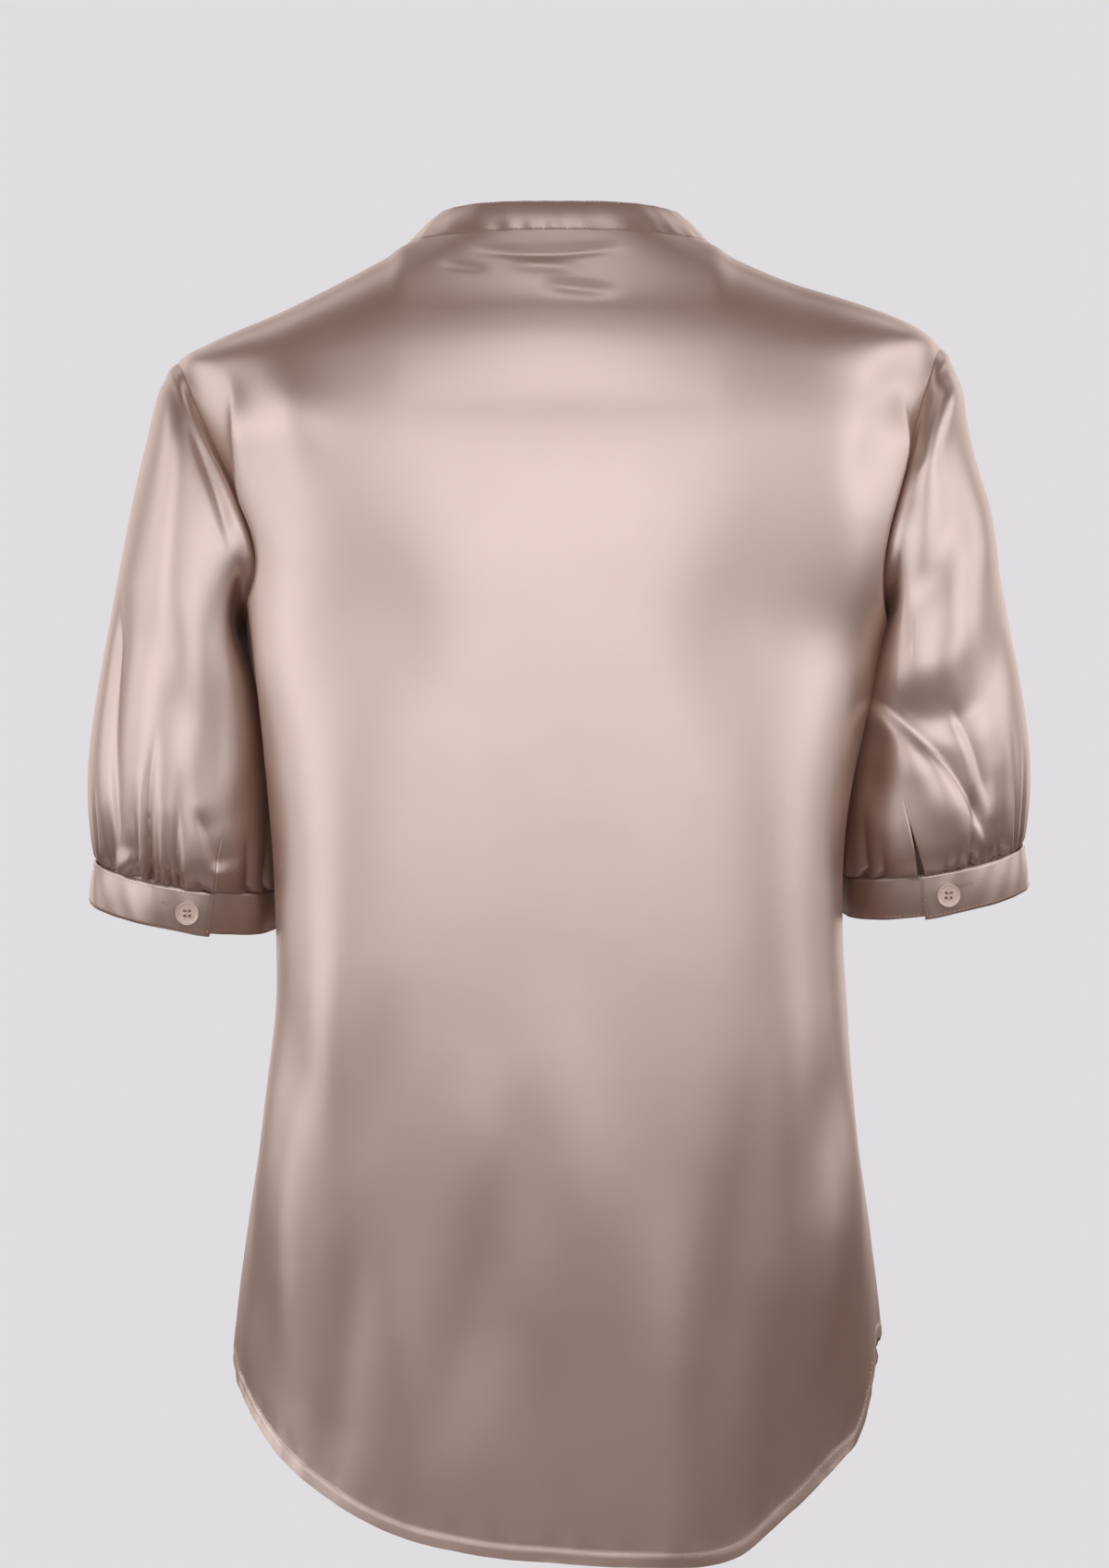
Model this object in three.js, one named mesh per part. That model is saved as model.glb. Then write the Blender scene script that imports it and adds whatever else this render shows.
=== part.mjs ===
import * as THREE from "three";

// Blouse in satin with a stand collar and short gathered sleeves
// Millimetres, +Z up, the front faces -Y, the wearer's left is +X.
// The origin is the middle of the neck opening, level with the side neck points.

// Main sizes
const wall = 1.2;
const bandWall = 1.4;
const cuffWall = 1.5;
const gap = 0.3;
const frontArmholeGap = 0.5;
const squareness = 2.6;
const neckHalfWidth = 80;
const neckBackDepth = 55;
const neckFrontDepth = 62;
const neckBackRise = 3;
const neckFrontDrop = 55;
const shoulderTipZ = -59;
const armholeBottomZ = -205;
const armholeRow = 16;
const frontYokeDrop = 41;
const shoulderRound = 0.6;
const tuckTurn = 20;
const bandHalfWidth = 12.5;
const collarHeight = 25;
const cuffHeight = 21;
const cuffLapTurn = 30;
const buttonDiameter = 12;
const buttonThickness = 2.4;
const buttonHole = 1.7;
const buttonHoleSpacing = 3.2;

// Number of cells in each grid
const topRows = 6;
const armholeSteps = 12;
const lowRows = 7;
const backCells = 24;
const frontCells = 10;
const sleeveSplit = 3;

// Half width and depths of the body, and how far its sides are drawn in, a row per level
const bodyLevels = [
  { z: -59, halfWidth: 199.5, back: 87, front: 72, tuck: 0 },
  { z: -80, halfWidth: 196, back: 94, front: 84, tuck: 0 },
  { z: -105, halfWidth: 188, back: 99, front: 95, tuck: 0 },
  { z: -132, halfWidth: 177, back: 102, front: 106, tuck: 0 },
  { z: -160, halfWidth: 167, back: 104, front: 113, tuck: 0 },
  { z: -205, halfWidth: 157.5, back: 105, front: 119, tuck: 0 },
  { z: -232, halfWidth: 156, back: 105, front: 120, tuck: 10 },
  { z: -262, halfWidth: 154, back: 104, front: 120, tuck: 16 },
  { z: -310, halfWidth: 150, back: 102, front: 118, tuck: 16 },
  { z: -350, halfWidth: 148.5, back: 99, front: 116, tuck: 13 },
  { z: -385, halfWidth: 148.5, back: 97, front: 115, tuck: 6 },
  { z: -440, halfWidth: 151.5, back: 95, front: 114, tuck: 0 },
  { z: -500, halfWidth: 160, back: 94, front: 114, tuck: 0 },
  { z: -566, halfWidth: 168, back: 93, front: 113, tuck: 0 },
  { z: -690, halfWidth: 171, back: 88, front: 108, tuck: 0 },
];

// Armhole, distance behind and before the side at each angle from the shoulder tip
const armhole = [
  { angle: 0, back: 0, front: 0 },
  { angle: 15, back: 14, front: 13 },
  { angle: 30, back: 26, front: 24 },
  { angle: 45, back: 35, front: 33 },
  { angle: 60, back: 41, front: 39 },
  { angle: 75, back: 45, front: 43 },
  { angle: 90, back: 49, front: 46 },
  { angle: 105, back: 52, front: 48 },
  { angle: 120, back: 51.5, front: 47 },
  { angle: 135, back: 45, front: 41 },
  { angle: 150, back: 32.5, front: 30 },
  { angle: 165, back: 17, front: 16 },
  { angle: 180, back: 0, front: 0 },
];

// Height of the shirt-tail hem, by turn from the left side seam round to the right one
const backHem = [
  { turn: 0, z: -569 },
  { turn: 15, z: -580 },
  { turn: 30, z: -600 },
  { turn: 45, z: -632 },
  { turn: 60, z: -658 },
  { turn: 75, z: -671 },
  { turn: 90, z: -676 },
  { turn: 105, z: -678 },
  { turn: 119, z: -676 },
  { turn: 129, z: -657 },
  { turn: 141, z: -632 },
  { turn: 151, z: -619 },
  { turn: 158, z: -600 },
  { turn: 166, z: -576 },
  { turn: 180, z: -569 },
];
const frontHem = [
  { turn: 0, z: -569 },
  { turn: 18, z: -582 },
  { turn: 35, z: -609 },
  { turn: 55, z: -633 },
  { turn: 90, z: -640 },
];

// Large folds: turn at the top, sideways lean, upper and lower end, half width in degrees, height
const backFolds = [
  { turn: 36, lean: -8, top: -75, bottom: -400, width: 7, height: 5 },
  { turn: 51, lean: -5, top: -90, bottom: -350, width: 8, height: -4 },
  { turn: 143, lean: 8, top: -70, bottom: -390, width: 9, height: 7 },
  { turn: 129, lean: 5, top: -90, bottom: -340, width: 8, height: -4 },
  { turn: 50, lean: -7, top: -350, bottom: -450, width: 8, height: 4 },
  { turn: 56, lean: 4, top: -395, bottom: -480, width: 8, height: -4 },
  { turn: 95, lean: 0, top: -420, bottom: -600, width: 11, height: 4 },
  { turn: 76, lean: -2, top: -470, bottom: -640, width: 10, height: -4 },
  { turn: 122, lean: 3, top: -440, bottom: -640, width: 10, height: -5 },
  { turn: 110, lean: 0, top: -560, bottom: -690, width: 8, height: 3 },
];
const frontFolds = [
  { turn: 28, lean: 2, top: -100, bottom: -400, width: 7, height: 6 },
  { turn: 43, lean: 2, top: -110, bottom: -350, width: 8, height: -4 },
  { turn: 58, lean: -4, top: -330, bottom: -640, width: 9, height: 4 },
  { turn: 40, lean: -2, top: -420, bottom: -620, width: 8, height: -4 },
];

// Rings of the left sleeve from the armhole to the cuff seam
const sleeveRings = [
  { outerX: 204, outerZ: -64, innerX: 159.5, innerZ: -201, depth: 54, middle: 0, drop: 0, armhole: 0.9, gather: 0 },
  { outerX: 210, outerZ: -76, innerX: 162, innerZ: -202.5, depth: 57.5, middle: 0, drop: 0, armhole: 0.7, gather: 0 },
  { outerX: 215, outerZ: -97, innerX: 160.5, innerZ: -215, depth: 59.5, middle: 0, drop: 1, armhole: 0.45, gather: 0 },
  { outerX: 222.5, outerZ: -128, innerX: 153.5, innerZ: -235, depth: 61, middle: 0, drop: 3, armhole: 0.2, gather: 0 },
  { outerX: 230, outerZ: -166, innerX: 147.5, innerZ: -257, depth: 62, middle: -1, drop: 5, armhole: 0.05, gather: 0.3 },
  { outerX: 238, outerZ: -208, innerX: 144, innerZ: -280, depth: 61.5, middle: -3, drop: 7, armhole: 0, gather: 0.8 },
  { outerX: 245.5, outerZ: -254, innerX: 142.5, innerZ: -301, depth: 60, middle: -4, drop: 8, armhole: 0, gather: 1.6 },
  { outerX: 247.5, outerZ: -282, innerX: 142.5, innerZ: -315, depth: 56.5, middle: -5, drop: 9, armhole: 0, gather: 2.3 },
  { outerX: 246.5, outerZ: -304, innerX: 143.5, innerZ: -327, depth: 51.5, middle: -6, drop: 10, armhole: 0, gather: 2.3 },
  { outerX: 244, outerZ: -321, innerX: 145.5, innerZ: -335.5, depth: 46, middle: -6, drop: 10, armhole: 0, gather: 1.2 },
];

// Folds of each sleeve: angle round the sleeve, first and last ring, half width, height
const leftSleeveFolds = [
  { angle: 52, from: 4, to: 10, width: 7, height: -4 },
  { angle: 66, from: 2, to: 7, width: 9, height: 3 },
  { angle: 86, from: 1, to: 5, width: 9, height: -3 },
  { angle: 105, from: 3, to: 8, width: 8, height: 3 },
  { angle: 150, from: 3, to: 9, width: 10, height: -3 },
  { angle: 250, from: 2, to: 8, width: 9, height: 3 },
  { angle: 285, from: 3, to: 9, width: 8, height: -4 },
];
const rightSleeveFolds = [
  { angle: 58, from: 3, to: 8, width: 8, height: 3 },
  { angle: 74, from: 5, to: 9, width: 7, height: -4 },
  { angle: 92, from: 2, to: 5, width: 9, height: -3 },
  { angle: 126, from: 2, to: 7, width: 8, height: 3 },
  { angle: 148, from: 4, to: 9, width: 9, height: -4 },
  { angle: 255, from: 3, to: 9, width: 9, height: 3 },
  { angle: 290, from: 3, to: 9, width: 8, height: -4 },
];

// Slit above each cuff, lift of the sleeve end, and the button on the cuff
const sleeveSides = [
  { side: "left", mirror: 1, slit: 110, open: 0.6, lift: 0, button: 95, folds: leftSleeveFolds },
  { side: "right", mirror: -1, slit: 100, open: 2.4, lift: 8, button: 85, folds: rightSleeveFolds },
];
const slitRing = 8;

// Heights of the buttons on the front band
const frontButtonHeights = [-95, -180, -265, -350, -435, -520];

// Vectors as plain lists of three numbers
const add = (a, b) => [a[0] + b[0], a[1] + b[1], a[2] + b[2]];
const sub = (a, b) => [a[0] - b[0], a[1] - b[1], a[2] - b[2]];
const times = (a, k) => [a[0] * k, a[1] * k, a[2] * k];
const dot = (a, b) => a[0] * b[0] + a[1] * b[1] + a[2] * b[2];
const cross = (a, b) => [
  a[1] * b[2] - a[2] * b[1],
  a[2] * b[0] - a[0] * b[2],
  a[0] * b[1] - a[1] * b[0],
];
const unit = (a) => times(a, 1 / Math.max(1e-9, Math.hypot(...a)));
const mix = (a, b, k) => a + (b - a) * k;
const mixPoints = (a, b, k) => [mix(a[0], b[0], k), mix(a[1], b[1], k), mix(a[2], b[2], k)];
const radians = (degrees) => (degrees * Math.PI) / 180;
const soft = (k) => {
  const c = Math.min(1, Math.max(0, k));
  return c * c * (3 - 2 * c);
};

// Smooth reading of one column of a table at a value of its first column
function read(table, key, value, column) {
  const step = Math.sign(table[table.length - 1][key] - table[0][key]);
  let i = 0;
  while (i < table.length - 2 && (value - table[i + 1][key]) * step > 0) i += 1;
  const slope = (j) => {
    const a = table[Math.max(0, j - 1)];
    const b = table[Math.min(table.length - 1, j + 1)];
    return (b[column] - a[column]) / (b[key] - a[key]);
  };
  const width = table[i + 1][key] - table[i][key];
  const t = Math.min(1, Math.max(0, (value - table[i][key]) / width));
  const h = [2 * t ** 3 - 3 * t ** 2 + 1, t ** 3 - 2 * t ** 2 + t, -2 * t ** 3 + 3 * t ** 2, t ** 3 - t ** 2];
  return h[0] * table[i][column] + h[1] * width * slope(i) + h[2] * table[i + 1][column] + h[3] * width * slope(i + 1);
}

// A curve between two points with given directions at its ends
function hermite(a, leave, b, arrive, t) {
  const h = [2 * t ** 3 - 3 * t ** 2 + 1, t ** 3 - 2 * t ** 2 + t, -2 * t ** 3 + 3 * t ** 2, t ** 3 - t ** 2];
  return add(add(times(a, h[0]), times(leave, h[1])), add(times(b, h[2]), times(arrive, h[3])));
}

// A rounded oblong of given half sizes, as a point at a turn
function oblong(turn, halfWidth, depth) {
  const c = Math.cos(radians(turn));
  const s = Math.sin(radians(turn));
  const k = (Math.abs(c) ** squareness + Math.abs(s) ** squareness) ** (-1 / squareness);
  return [halfWidth * k * c, depth * k * s];
}

// A point of the body at a turn and a height, on the back or the front
function bodyPoint(kind, turn, z) {
  const [x, y] = oblong(turn, read(bodyLevels, "z", z, "halfWidth"), read(bodyLevels, "z", z, kind));
  const side = Math.min(turn, 180 - turn) / tuckTurn;
  const tuck = Math.sign(x) * read(bodyLevels, "z", z, "tuck") * Math.exp(-side * side);
  return [x - tuck, kind === "back" ? y : -y, z];
}

function neckPoint(kind, turn) {
  const [x, y] = oblong(turn, neckHalfWidth, kind === "back" ? neckBackDepth : neckFrontDepth);
  const side = Math.cos(radians(turn)) ** 2;
  return kind === "back" ? [x, y, neckBackRise * (1 - side)] : [x, -y, -neckFrontDrop * (1 - side ** 1.4)];
}

// Turn at which the armhole cuts the body, at each of its steps
function armholeTurn(kind, step) {
  const z = armholeHeight(step);
  const y = armhole[step][kind] / read(bodyLevels, "z", z, kind);
  const x = (1 - y ** squareness) ** (1 / squareness);
  return (Math.atan2(y, x) * 180) / Math.PI;
}

function armholeHeight(step) {
  const half = (shoulderTipZ - armholeBottomZ) / 2;
  return armholeBottomZ + half + half * Math.cos(radians(armhole[step].angle));
}

// First turn of a row of the body
function edgeTurn(kind, row) {
  const step = row - topRows;
  return step > 0 && step < armholeSteps ? armholeTurn(kind, step) : 0;
}

// Turn of a column, drawn together beside the armhole
function spreadTurn(edge, turn) {
  const half = Math.min(turn, 180 - turn);
  const moved = half + edge * (1 - half / 90) ** 2;
  return turn > 90 ? 180 - moved : moved;
}

// A point of a panel, on a row and at a turn
function panelPoint(kind, row, turn) {
  const edge = edgeTurn(kind, row);
  const half = turn > 90 ? 180 - turn : turn;
  const across = Math.sin(radians(90 * Math.min(1, (half - edge) / (90 - edge)))) ** 2;
  const sag = kind === "front" ? -frontYokeDrop * across : 0;
  if (row < topRows) {
    const out = kind === "back" ? 1 : -1;
    const neck = neckPoint(kind, turn);
    const yoke = bodyPoint(kind, turn, shoulderTipZ + sag);
    const under = unit(sub(bodyPoint(kind, turn, shoulderTipZ + sag - 12), yoke));
    const tip = [Math.sign(90 - turn) * Math.SQRT1_2, 0, -Math.SQRT1_2];
    const reach = Math.hypot(...sub(yoke, neck));
    const leave = add(sub(yoke, neck), times([0, 0.12 * out * across, 0.08], reach));
    const arrive = times(unit(mixPoints(tip, under, Math.sqrt(across))), shoulderRound * reach);
    return hermite(neck, leave, yoke, arrive, row / topRows);
  }
  const step = row - topRows;
  const hang = (k) => {
    const first = edgeTurn(kind, topRows + k);
    const part = Math.sin(radians(90 * Math.max(0, (half - first) / (90 - first)))) ** mix(2, 1, k / armholeSteps);
    const centre = shoulderTipZ - armholeRow * k - (kind === "front" ? frontYokeDrop * (1 - k / armholeSteps) : 0);
    return mix(armholeHeight(k), centre, part);
  };
  if (step <= armholeSteps) return bodyPoint(kind, turn, hang(step));
  const hem = kind === "back" ? read(backHem, "turn", turn, "z") : read(frontHem, "turn", half, "z");
  return bodyPoint(kind, turn, mix(hang(armholeSteps), hem, (step - armholeSteps) / lowRows));
}

// Height of the folds at a turn and a height
function foldHeight(folds, turn, z) {
  let sum = 0;
  for (const fold of folds) {
    const k = (z - fold.top) / (fold.bottom - fold.top);
    const window = soft(k / 0.3) * soft((1 - k) / 0.3);
    const off = (turn - fold.turn - fold.lean * k) / fold.width;
    sum += fold.height * window * Math.exp(-off * off);
  }
  return sum;
}

// Turn below which no fold is pushed out, beside and under the armhole
function foldGuard(kind, row, z) {
  return Math.max(edgeTurn(kind, row), z < -160 ? 27 * soft((z + 290) / 125) : 0);
}

// Unit normals of a grid of points, facing away from a middle line or by a given sign
function gridNormals(points, closed, sign) {
  const last = points.length - 1;
  return points.map((row, i) => row.map((_, j) => {
    const n = row.length;
    const left = closed(i) ? row[(j + n - 1) % n] : row[Math.max(0, j - 1)];
    const right = closed(i) ? row[(j + 1) % n] : row[Math.min(n - 1, j + 1)];
    const up = points[Math.max(0, i - 1)][j];
    const down = points[Math.min(last, i + 1)][j];
    return times(unit(cross(sub(right, left), sub(down, up))), sign);
  }));
}

// A closed solid between an outer and an inner grid of points
// The grid is open, or joined to itself sideways on the rows where closed(row) is true.
function wallSolid(outer, inner, closed = () => false) {
  const rows = outer.length;
  const columns = outer[0].length;
  const positions = [];
  const index = new Map();
  const vertex = (layer, i, j) => {
    const column = closed(i) && j === columns ? 0 : j;
    const key = `${layer} ${i} ${column}`;
    if (!index.has(key)) {
      index.set(key, positions.length / 3);
      positions.push(...(layer === 0 ? outer : inner)[i][column]);
    }
    return index.get(key);
  };
  const triangles = [];
  const quad = (a, b, c, d) => triangles.push(a, b, c, a, c, d);
  const isTube = closed(0);
  const cells = isTube ? columns : columns - 1;
  for (let i = 0; i < rows - 1; i += 1) {
    for (let j = 0; j < cells; j += 1) {
      quad(vertex(0, i, j), vertex(0, i + 1, j), vertex(0, i + 1, j + 1), vertex(0, i, j + 1));
      quad(vertex(1, i, j), vertex(1, i, j + 1), vertex(1, i + 1, j + 1), vertex(1, i + 1, j));
    }
  }
  for (let j = 0; j < cells; j += 1) {
    quad(vertex(0, 0, j), vertex(0, 0, j + 1), vertex(1, 0, j + 1), vertex(1, 0, j));
    quad(vertex(0, rows - 1, j), vertex(1, rows - 1, j), vertex(1, rows - 1, j + 1), vertex(0, rows - 1, j + 1));
  }
  for (let i = 0; i < rows - 1; i += 1) {
    if (isTube && closed(i) && closed(i + 1)) continue;
    quad(vertex(0, i, 0), vertex(1, i, 0), vertex(1, i + 1, 0), vertex(0, i + 1, 0));
    quad(vertex(0, i, cells), vertex(0, i + 1, cells), vertex(1, i + 1, cells), vertex(1, i, cells));
  }
  return solid(positions, triangles);
}

// Geometry from points and triangles, turned so that the faces look out
function solid(positions, triangles) {
  let volume = 0;
  const at = (k) => positions.slice(3 * k, 3 * k + 3);
  for (let i = 0; i < triangles.length; i += 3) {
    volume += dot(at(triangles[i]), cross(at(triangles[i + 1]), at(triangles[i + 2])));
  }
  if (volume < 0) {
    for (let i = 0; i < triangles.length; i += 3) {
      [triangles[i + 1], triangles[i + 2]] = [triangles[i + 2], triangles[i + 1]];
    }
  }
  const geometry = new THREE.BufferGeometry();
  geometry.setAttribute("position", new THREE.Float32BufferAttribute(positions, 3));
  geometry.setIndex(triangles);
  geometry.computeVertexNormals();
  return geometry;
}

const group = new THREE.Group();
const satin = 0xd8c1b6;
const pearl = 0xd9b8ae;
function place(name, geometry, color = satin, roughness = 0.4) {
  const mesh = new THREE.Mesh(geometry, new THREE.MeshStandardMaterial({ color, roughness }));
  mesh.name = name;
  group.add(mesh);
}

const bodyRows = topRows + armholeSteps + lowRows;
const mirrored = (points) => points.map((row) => row.map(([x, y, z]) => [-x, y, z]));

// Edges of a panel stand half a gap from the side and the shoulder seams
function seamGap(kind, point) {
  const y = kind === "back" ? Math.max(gap / 2, point[1]) : Math.min(-gap / 2, point[1]);
  return [point[0], y, point[2]];
}

// Pushes the points of a grid out by an amount, with the edges held by their own fade
function pushed(points, normals, amount) {
  return points.map((row, i) => row.map((point, j) => add(point, times(normals[i][j], amount(i, j)))));
}

// Normals at the side and shoulder seams look straight out, the same on both pieces
function seamNormals(normals, columns) {
  normals.forEach((row, i) => {
    const step = i - topRows;
    if (step > 0 && step < armholeSteps) return;
    for (const j of columns) row[j] = unit([row[j][0], 0, row[j][2]]);
  });
  return normals;
}

const open = () => false;
const fadeRows = (row) => soft(row / topRows);

// Back, one panel without a yoke
function backPanel() {
  const turns = (row) => {
    const edge = edgeTurn("back", row);
    return Array.from({ length: backCells + 1 }, (_, j) => spreadTurn(edge, (180 * j) / backCells));
  };
  const plain = Array.from({ length: bodyRows + 1 }, (_, i) => {
    return turns(i).map((turn) => seamGap("back", panelPoint("back", i, turn)));
  });
  const base = gridNormals(plain, open, -1);
  const points = pushed(plain, base, (i, j) => {
    const edge = Math.min(turns(i)[j], 180 - turns(i)[j]) - foldGuard("back", i, plain[i][j][2]);
    return foldHeight(backFolds, turns(i)[j], plain[i][j][2]) * soft(edge / 16) * fadeRows(i);
  });
  const normals = seamNormals(gridNormals(points, open, -1), [0, backCells]);
  return { points, normals };
}

// One front, from the left side seam to its edge beyond the centre
function frontPanel(inward) {
  const cells = frontCells + 2;
  const turns = (row) => {
    const edge = edgeTurn("front", row);
    const half = Math.abs(panelPoint("front", row, edge)[0]);
    const width = row < topRows ? half : read(bodyLevels, "z", plainHeight(row), "halfWidth");
    const lap = 90 - (Math.asin(bandHalfWidth / width) * 180) / Math.PI;
    const list = Array.from({ length: frontCells + 1 }, (_, j) => spreadTurn(edge, (lap * j) / frontCells));
    list[frontCells] = lap;
    return [...list, 90, 180 - lap];
  };
  const plainHeight = (row) => panelPoint("front", row, 90)[2];
  const plain = Array.from({ length: bodyRows + 1 }, (_, i) => {
    return turns(i).map((turn, j) => {
      const point = seamGap("front", panelPoint("front", i, turn));
      if (j === frontCells) point[0] = bandHalfWidth;
      if (j > frontCells) point[0] = -bandHalfWidth * (j - frontCells - 1);
      return point;
    });
  });
  const base = gridNormals(plain, open, 1);
  const points = pushed(plain, base, (i, j) => {
    const fade = soft((turns(i)[j] - foldGuard("front", i, plain[i][j][2])) / 12) * soft((frontCells - j) / 3) * fadeRows(i);
    const fold = foldHeight(frontFolds, turns(i)[j], plain[i][j][2]) * fade;
    return fold - inward * soft((j - frontCells + 2) / 2);
  });
  const normals = seamNormals(gridNormals(points, open, 1), [0]);
  return { points, normals, cells };
}

const mirrorPanel = (panel) => ({
  points: mirrored(panel.points),
  normals: mirrored(panel.normals),
  cells: panel.cells,
});

const back = backPanel();
const frontLeft = frontPanel(wall + gap + 0.05);
const frontRight = mirrorPanel(frontPanel(0));
const inside = (grid, thickness) => pushed(grid.points, grid.normals, () => -thickness);
place("back", wallSolid(back.points, inside(back, wall)));
place("front_left", wallSolid(frontLeft.points, inside(frontLeft, wall)));
place("front_right", wallSolid(frontRight.points, inside(frontRight, wall)));

// Buttoned band on the edge of the right front, made from the front's own points
const band = {
  points: frontRight.points.map((row) => row.slice(frontCells)),
  normals: frontRight.normals.map((row) => row.slice(frontCells)),
};
const bandOuter = pushed(band.points, band.normals, () => gap + 1);
place("front_band", wallSolid(bandOuter, pushed(band.points, band.normals, () => gap)));

// Collar, a band that leans in, made on the neck edges of the three panels
function collarBand() {
  const seam = [];
  const edge = (panel, j) => ({ point: panel.points[0][j], normal: panel.normals[0][j], next: panel.points[1][j] });
  for (let j = frontLeft.cells; j > 0; j -= 1) seam.push(edge(frontLeft, j));
  for (let j = 0; j <= backCells; j += 1) seam.push(edge(back, j));
  for (let j = 1; j <= frontRight.cells; j += 1) seam.push(edge(frontRight, j));
  const rows = 3;
  const grid = Array.from({ length: rows + 1 }, () => []);
  seam.forEach(({ point, normal, next }, j) => {
    const before = seam[Math.max(0, j - 1)].point;
    const after = seam[Math.min(seam.length - 1, j + 1)].point;
    const along = unit(sub(after, before));
    const away = unit(sub(sub(point, next), times(along, dot(sub(point, next), along))));
    const start = add([point[0], Math.abs(point[1]) < gap ? 0 : point[1], point[2]], times(away, gap));
    const lean = radians(point[1] > 0 ? 46 : mix(46, 34, Math.min(1, -point[1] / neckFrontDepth)));
    const inwards = unit([-point[0], -point[1], 0]);
    const rise = add(times([0, 0, 1], Math.cos(lean)), times(inwards, Math.sin(lean)));
    const square = unit(sub(rise, times(along, dot(rise, along))));
    for (let i = 0; i <= rows; i += 1) {
      const k = i / rows;
      const bow = 1.2 * Math.sin(Math.PI * k);
      grid[rows - i].push(add(add(start, times(square, collarHeight * k)), times(normal, bow)));
    }
  });
  const normals = gridNormals(grid, open, -1);
  seam.forEach(({ normal }, j) => {
    normals[rows][j] = unit([normal[0], normal[1], normal[2]]);
  });
  return { points: grid, normals };
}
const collar = collarBand();
place("collar", wallSolid(collar.points, inside(collar, bandWall)));

// Edge of the left armhole, in steps from the shoulder tip behind, under and before the arm
function armholeLoop() {
  const loop = [];
  const at = (panel, step) => {
    const row = topRows + step;
    const away = sub(panel.points[row][0], panel.points[row][1]);
    return { point: panel.points[row][0], normal: panel.normals[row][0], away };
  };
  for (let step = 0; step <= armholeSteps; step += 1) loop.push(at(back, step));
  for (let step = armholeSteps - 1; step > 0; step -= 1) loop.push(at(frontPlain, step));
  for (const k of [0, armholeSteps]) {
    loop[k] = { ...loop[k], point: [loop[k].point[0], 0, loop[k].point[2]] };
    loop[k].away = k === 0 ? [1, 0, -1] : [0, 0, 1];
  }
  return loop.map((item, k) => {
    const before = loop[(k + loop.length - 1) % loop.length].point;
    const after = loop[(k + 1) % loop.length].point;
    const across = unit(cross(sub(after, before), item.normal));
    const outwards = dot(across, item.away) > 0 ? across : times(across, -1);
    return { ...item, outwards };
  });
}
const frontPlain = frontPanel(0);
const armholeEdge = armholeLoop();

// Frame of a sleeve ring: middle, long way, way to the back, and half sizes
function ringFrame(ring, lift) {
  const outer = [ring.outerX, 0, ring.outerZ + lift];
  const inner = [ring.innerX, 0, ring.innerZ + lift];
  const middle = times(add(outer, inner), 0.5);
  middle[1] = ring.middle;
  const drop = radians(ring.drop);
  return {
    middle,
    long: unit(sub(outer, inner)),
    rear: [0, Math.cos(drop), -Math.sin(drop)],
    half: Math.hypot(...sub(outer, inner)) / 2,
    depth: ring.depth,
  };
}

function ringPoint(frame, angle, extra = 0) {
  const c = Math.cos(radians(angle));
  const s = Math.sin(radians(angle));
  return add(frame.middle, add(times(frame.long, (frame.half + extra) * c), times(frame.rear, (frame.depth + extra) * s)));
}

// One sleeve, a tube open along the slit in its last rings
function sleeve(side) {
  const count = armholeEdge.length * sleeveSplit;
  const firstColumn = Math.round(side.slit / (360 / count));
  const rings = sleeveRings.length;
  const top = armholeEdge[0].point;
  const bottom = armholeEdge[armholeSteps].point;
  const armholeFrame = ringFrame(
    { outerX: top[0], outerZ: top[2], innerX: bottom[0], innerZ: bottom[2], depth: 50, middle: 0, drop: 0 },
    0,
  );
  const closed = (row) => row < slitRing;
  const columnsIn = (row) => (closed(row) ? count : count + 1);
  const edgeAt = (column) => {
    const k = Math.floor(column / sleeveSplit) % armholeEdge.length;
    const part = (column % sleeveSplit) / sleeveSplit;
    const a = armholeEdge[k];
    const b = armholeEdge[(k + 1) % armholeEdge.length];
    const edge = mixPoints(a.point, b.point, part);
    const apart = mix(gap, frontArmholeGap, soft(-edge[1] / 15));
    return {
      point: add(edge, times(unit(mixPoints(a.outwards, b.outwards, part)), apart)),
      normal: unit(mixPoints(a.normal, b.normal, part)),
    };
  };
  const grid = [];
  for (let i = 0; i <= rings; i += 1) {
    const row = [];
    for (let j = 0; j < columnsIn(i); j += 1) {
      const column = (firstColumn + j) % count;
      const angle = (360 / count) * column;
      if (i === 0) {
        row.push(edgeAt(column).point);
        continue;
      }
      const ring = sleeveRings[i - 1];
      const lift = side.lift * (i / rings) ** 2;
      const frame = ringFrame(ring, lift);
      const pattern = [1, 0.1, -1, -0.1][(column + 1) % 4];
      const uneven = 1 + 0.3 * Math.sin(radians(5 * angle)) + 0.25 * Math.sin(radians(11 * angle + 40));
      const inner = 1 - 0.6 * Math.exp(-(((angle - 180) / 35) ** 2));
      let push = ring.gather * pattern * uneven * inner;
      for (const fold of side.folds) {
        const off = (angle - fold.angle) / fold.width;
        const k = (i - fold.from) / (fold.to - fold.from);
        push += fold.height * Math.exp(-off * off) * soft(k / 0.3) * soft((1 - k) / 0.3);
      }
      const plain = ringPoint(frame, angle, push);
      const shift = sub(edgeAt(column).point, ringPoint(armholeFrame, angle));
      const point = add(plain, times(shift, ring.armhole));
      const apart = (side.open / 2) * ((i - slitRing + 1) / (rings - slitRing + 1));
      if (!closed(i) && j === 0) {
        const step = sub(ringPoint(frame, angle + 5), ringPoint(frame, angle));
        row.push(add(point, times(unit(step), apart)));
      } else if (!closed(i) && j === count) {
        const step = sub(ringPoint(frame, angle - 5), ringPoint(frame, angle));
        row.push(add(point, times(unit(step), apart)));
      } else {
        row.push(point);
      }
    }
    grid.push(row);
  }
  return { grid, closed, count, firstColumn, edgeAt };
}

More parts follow.
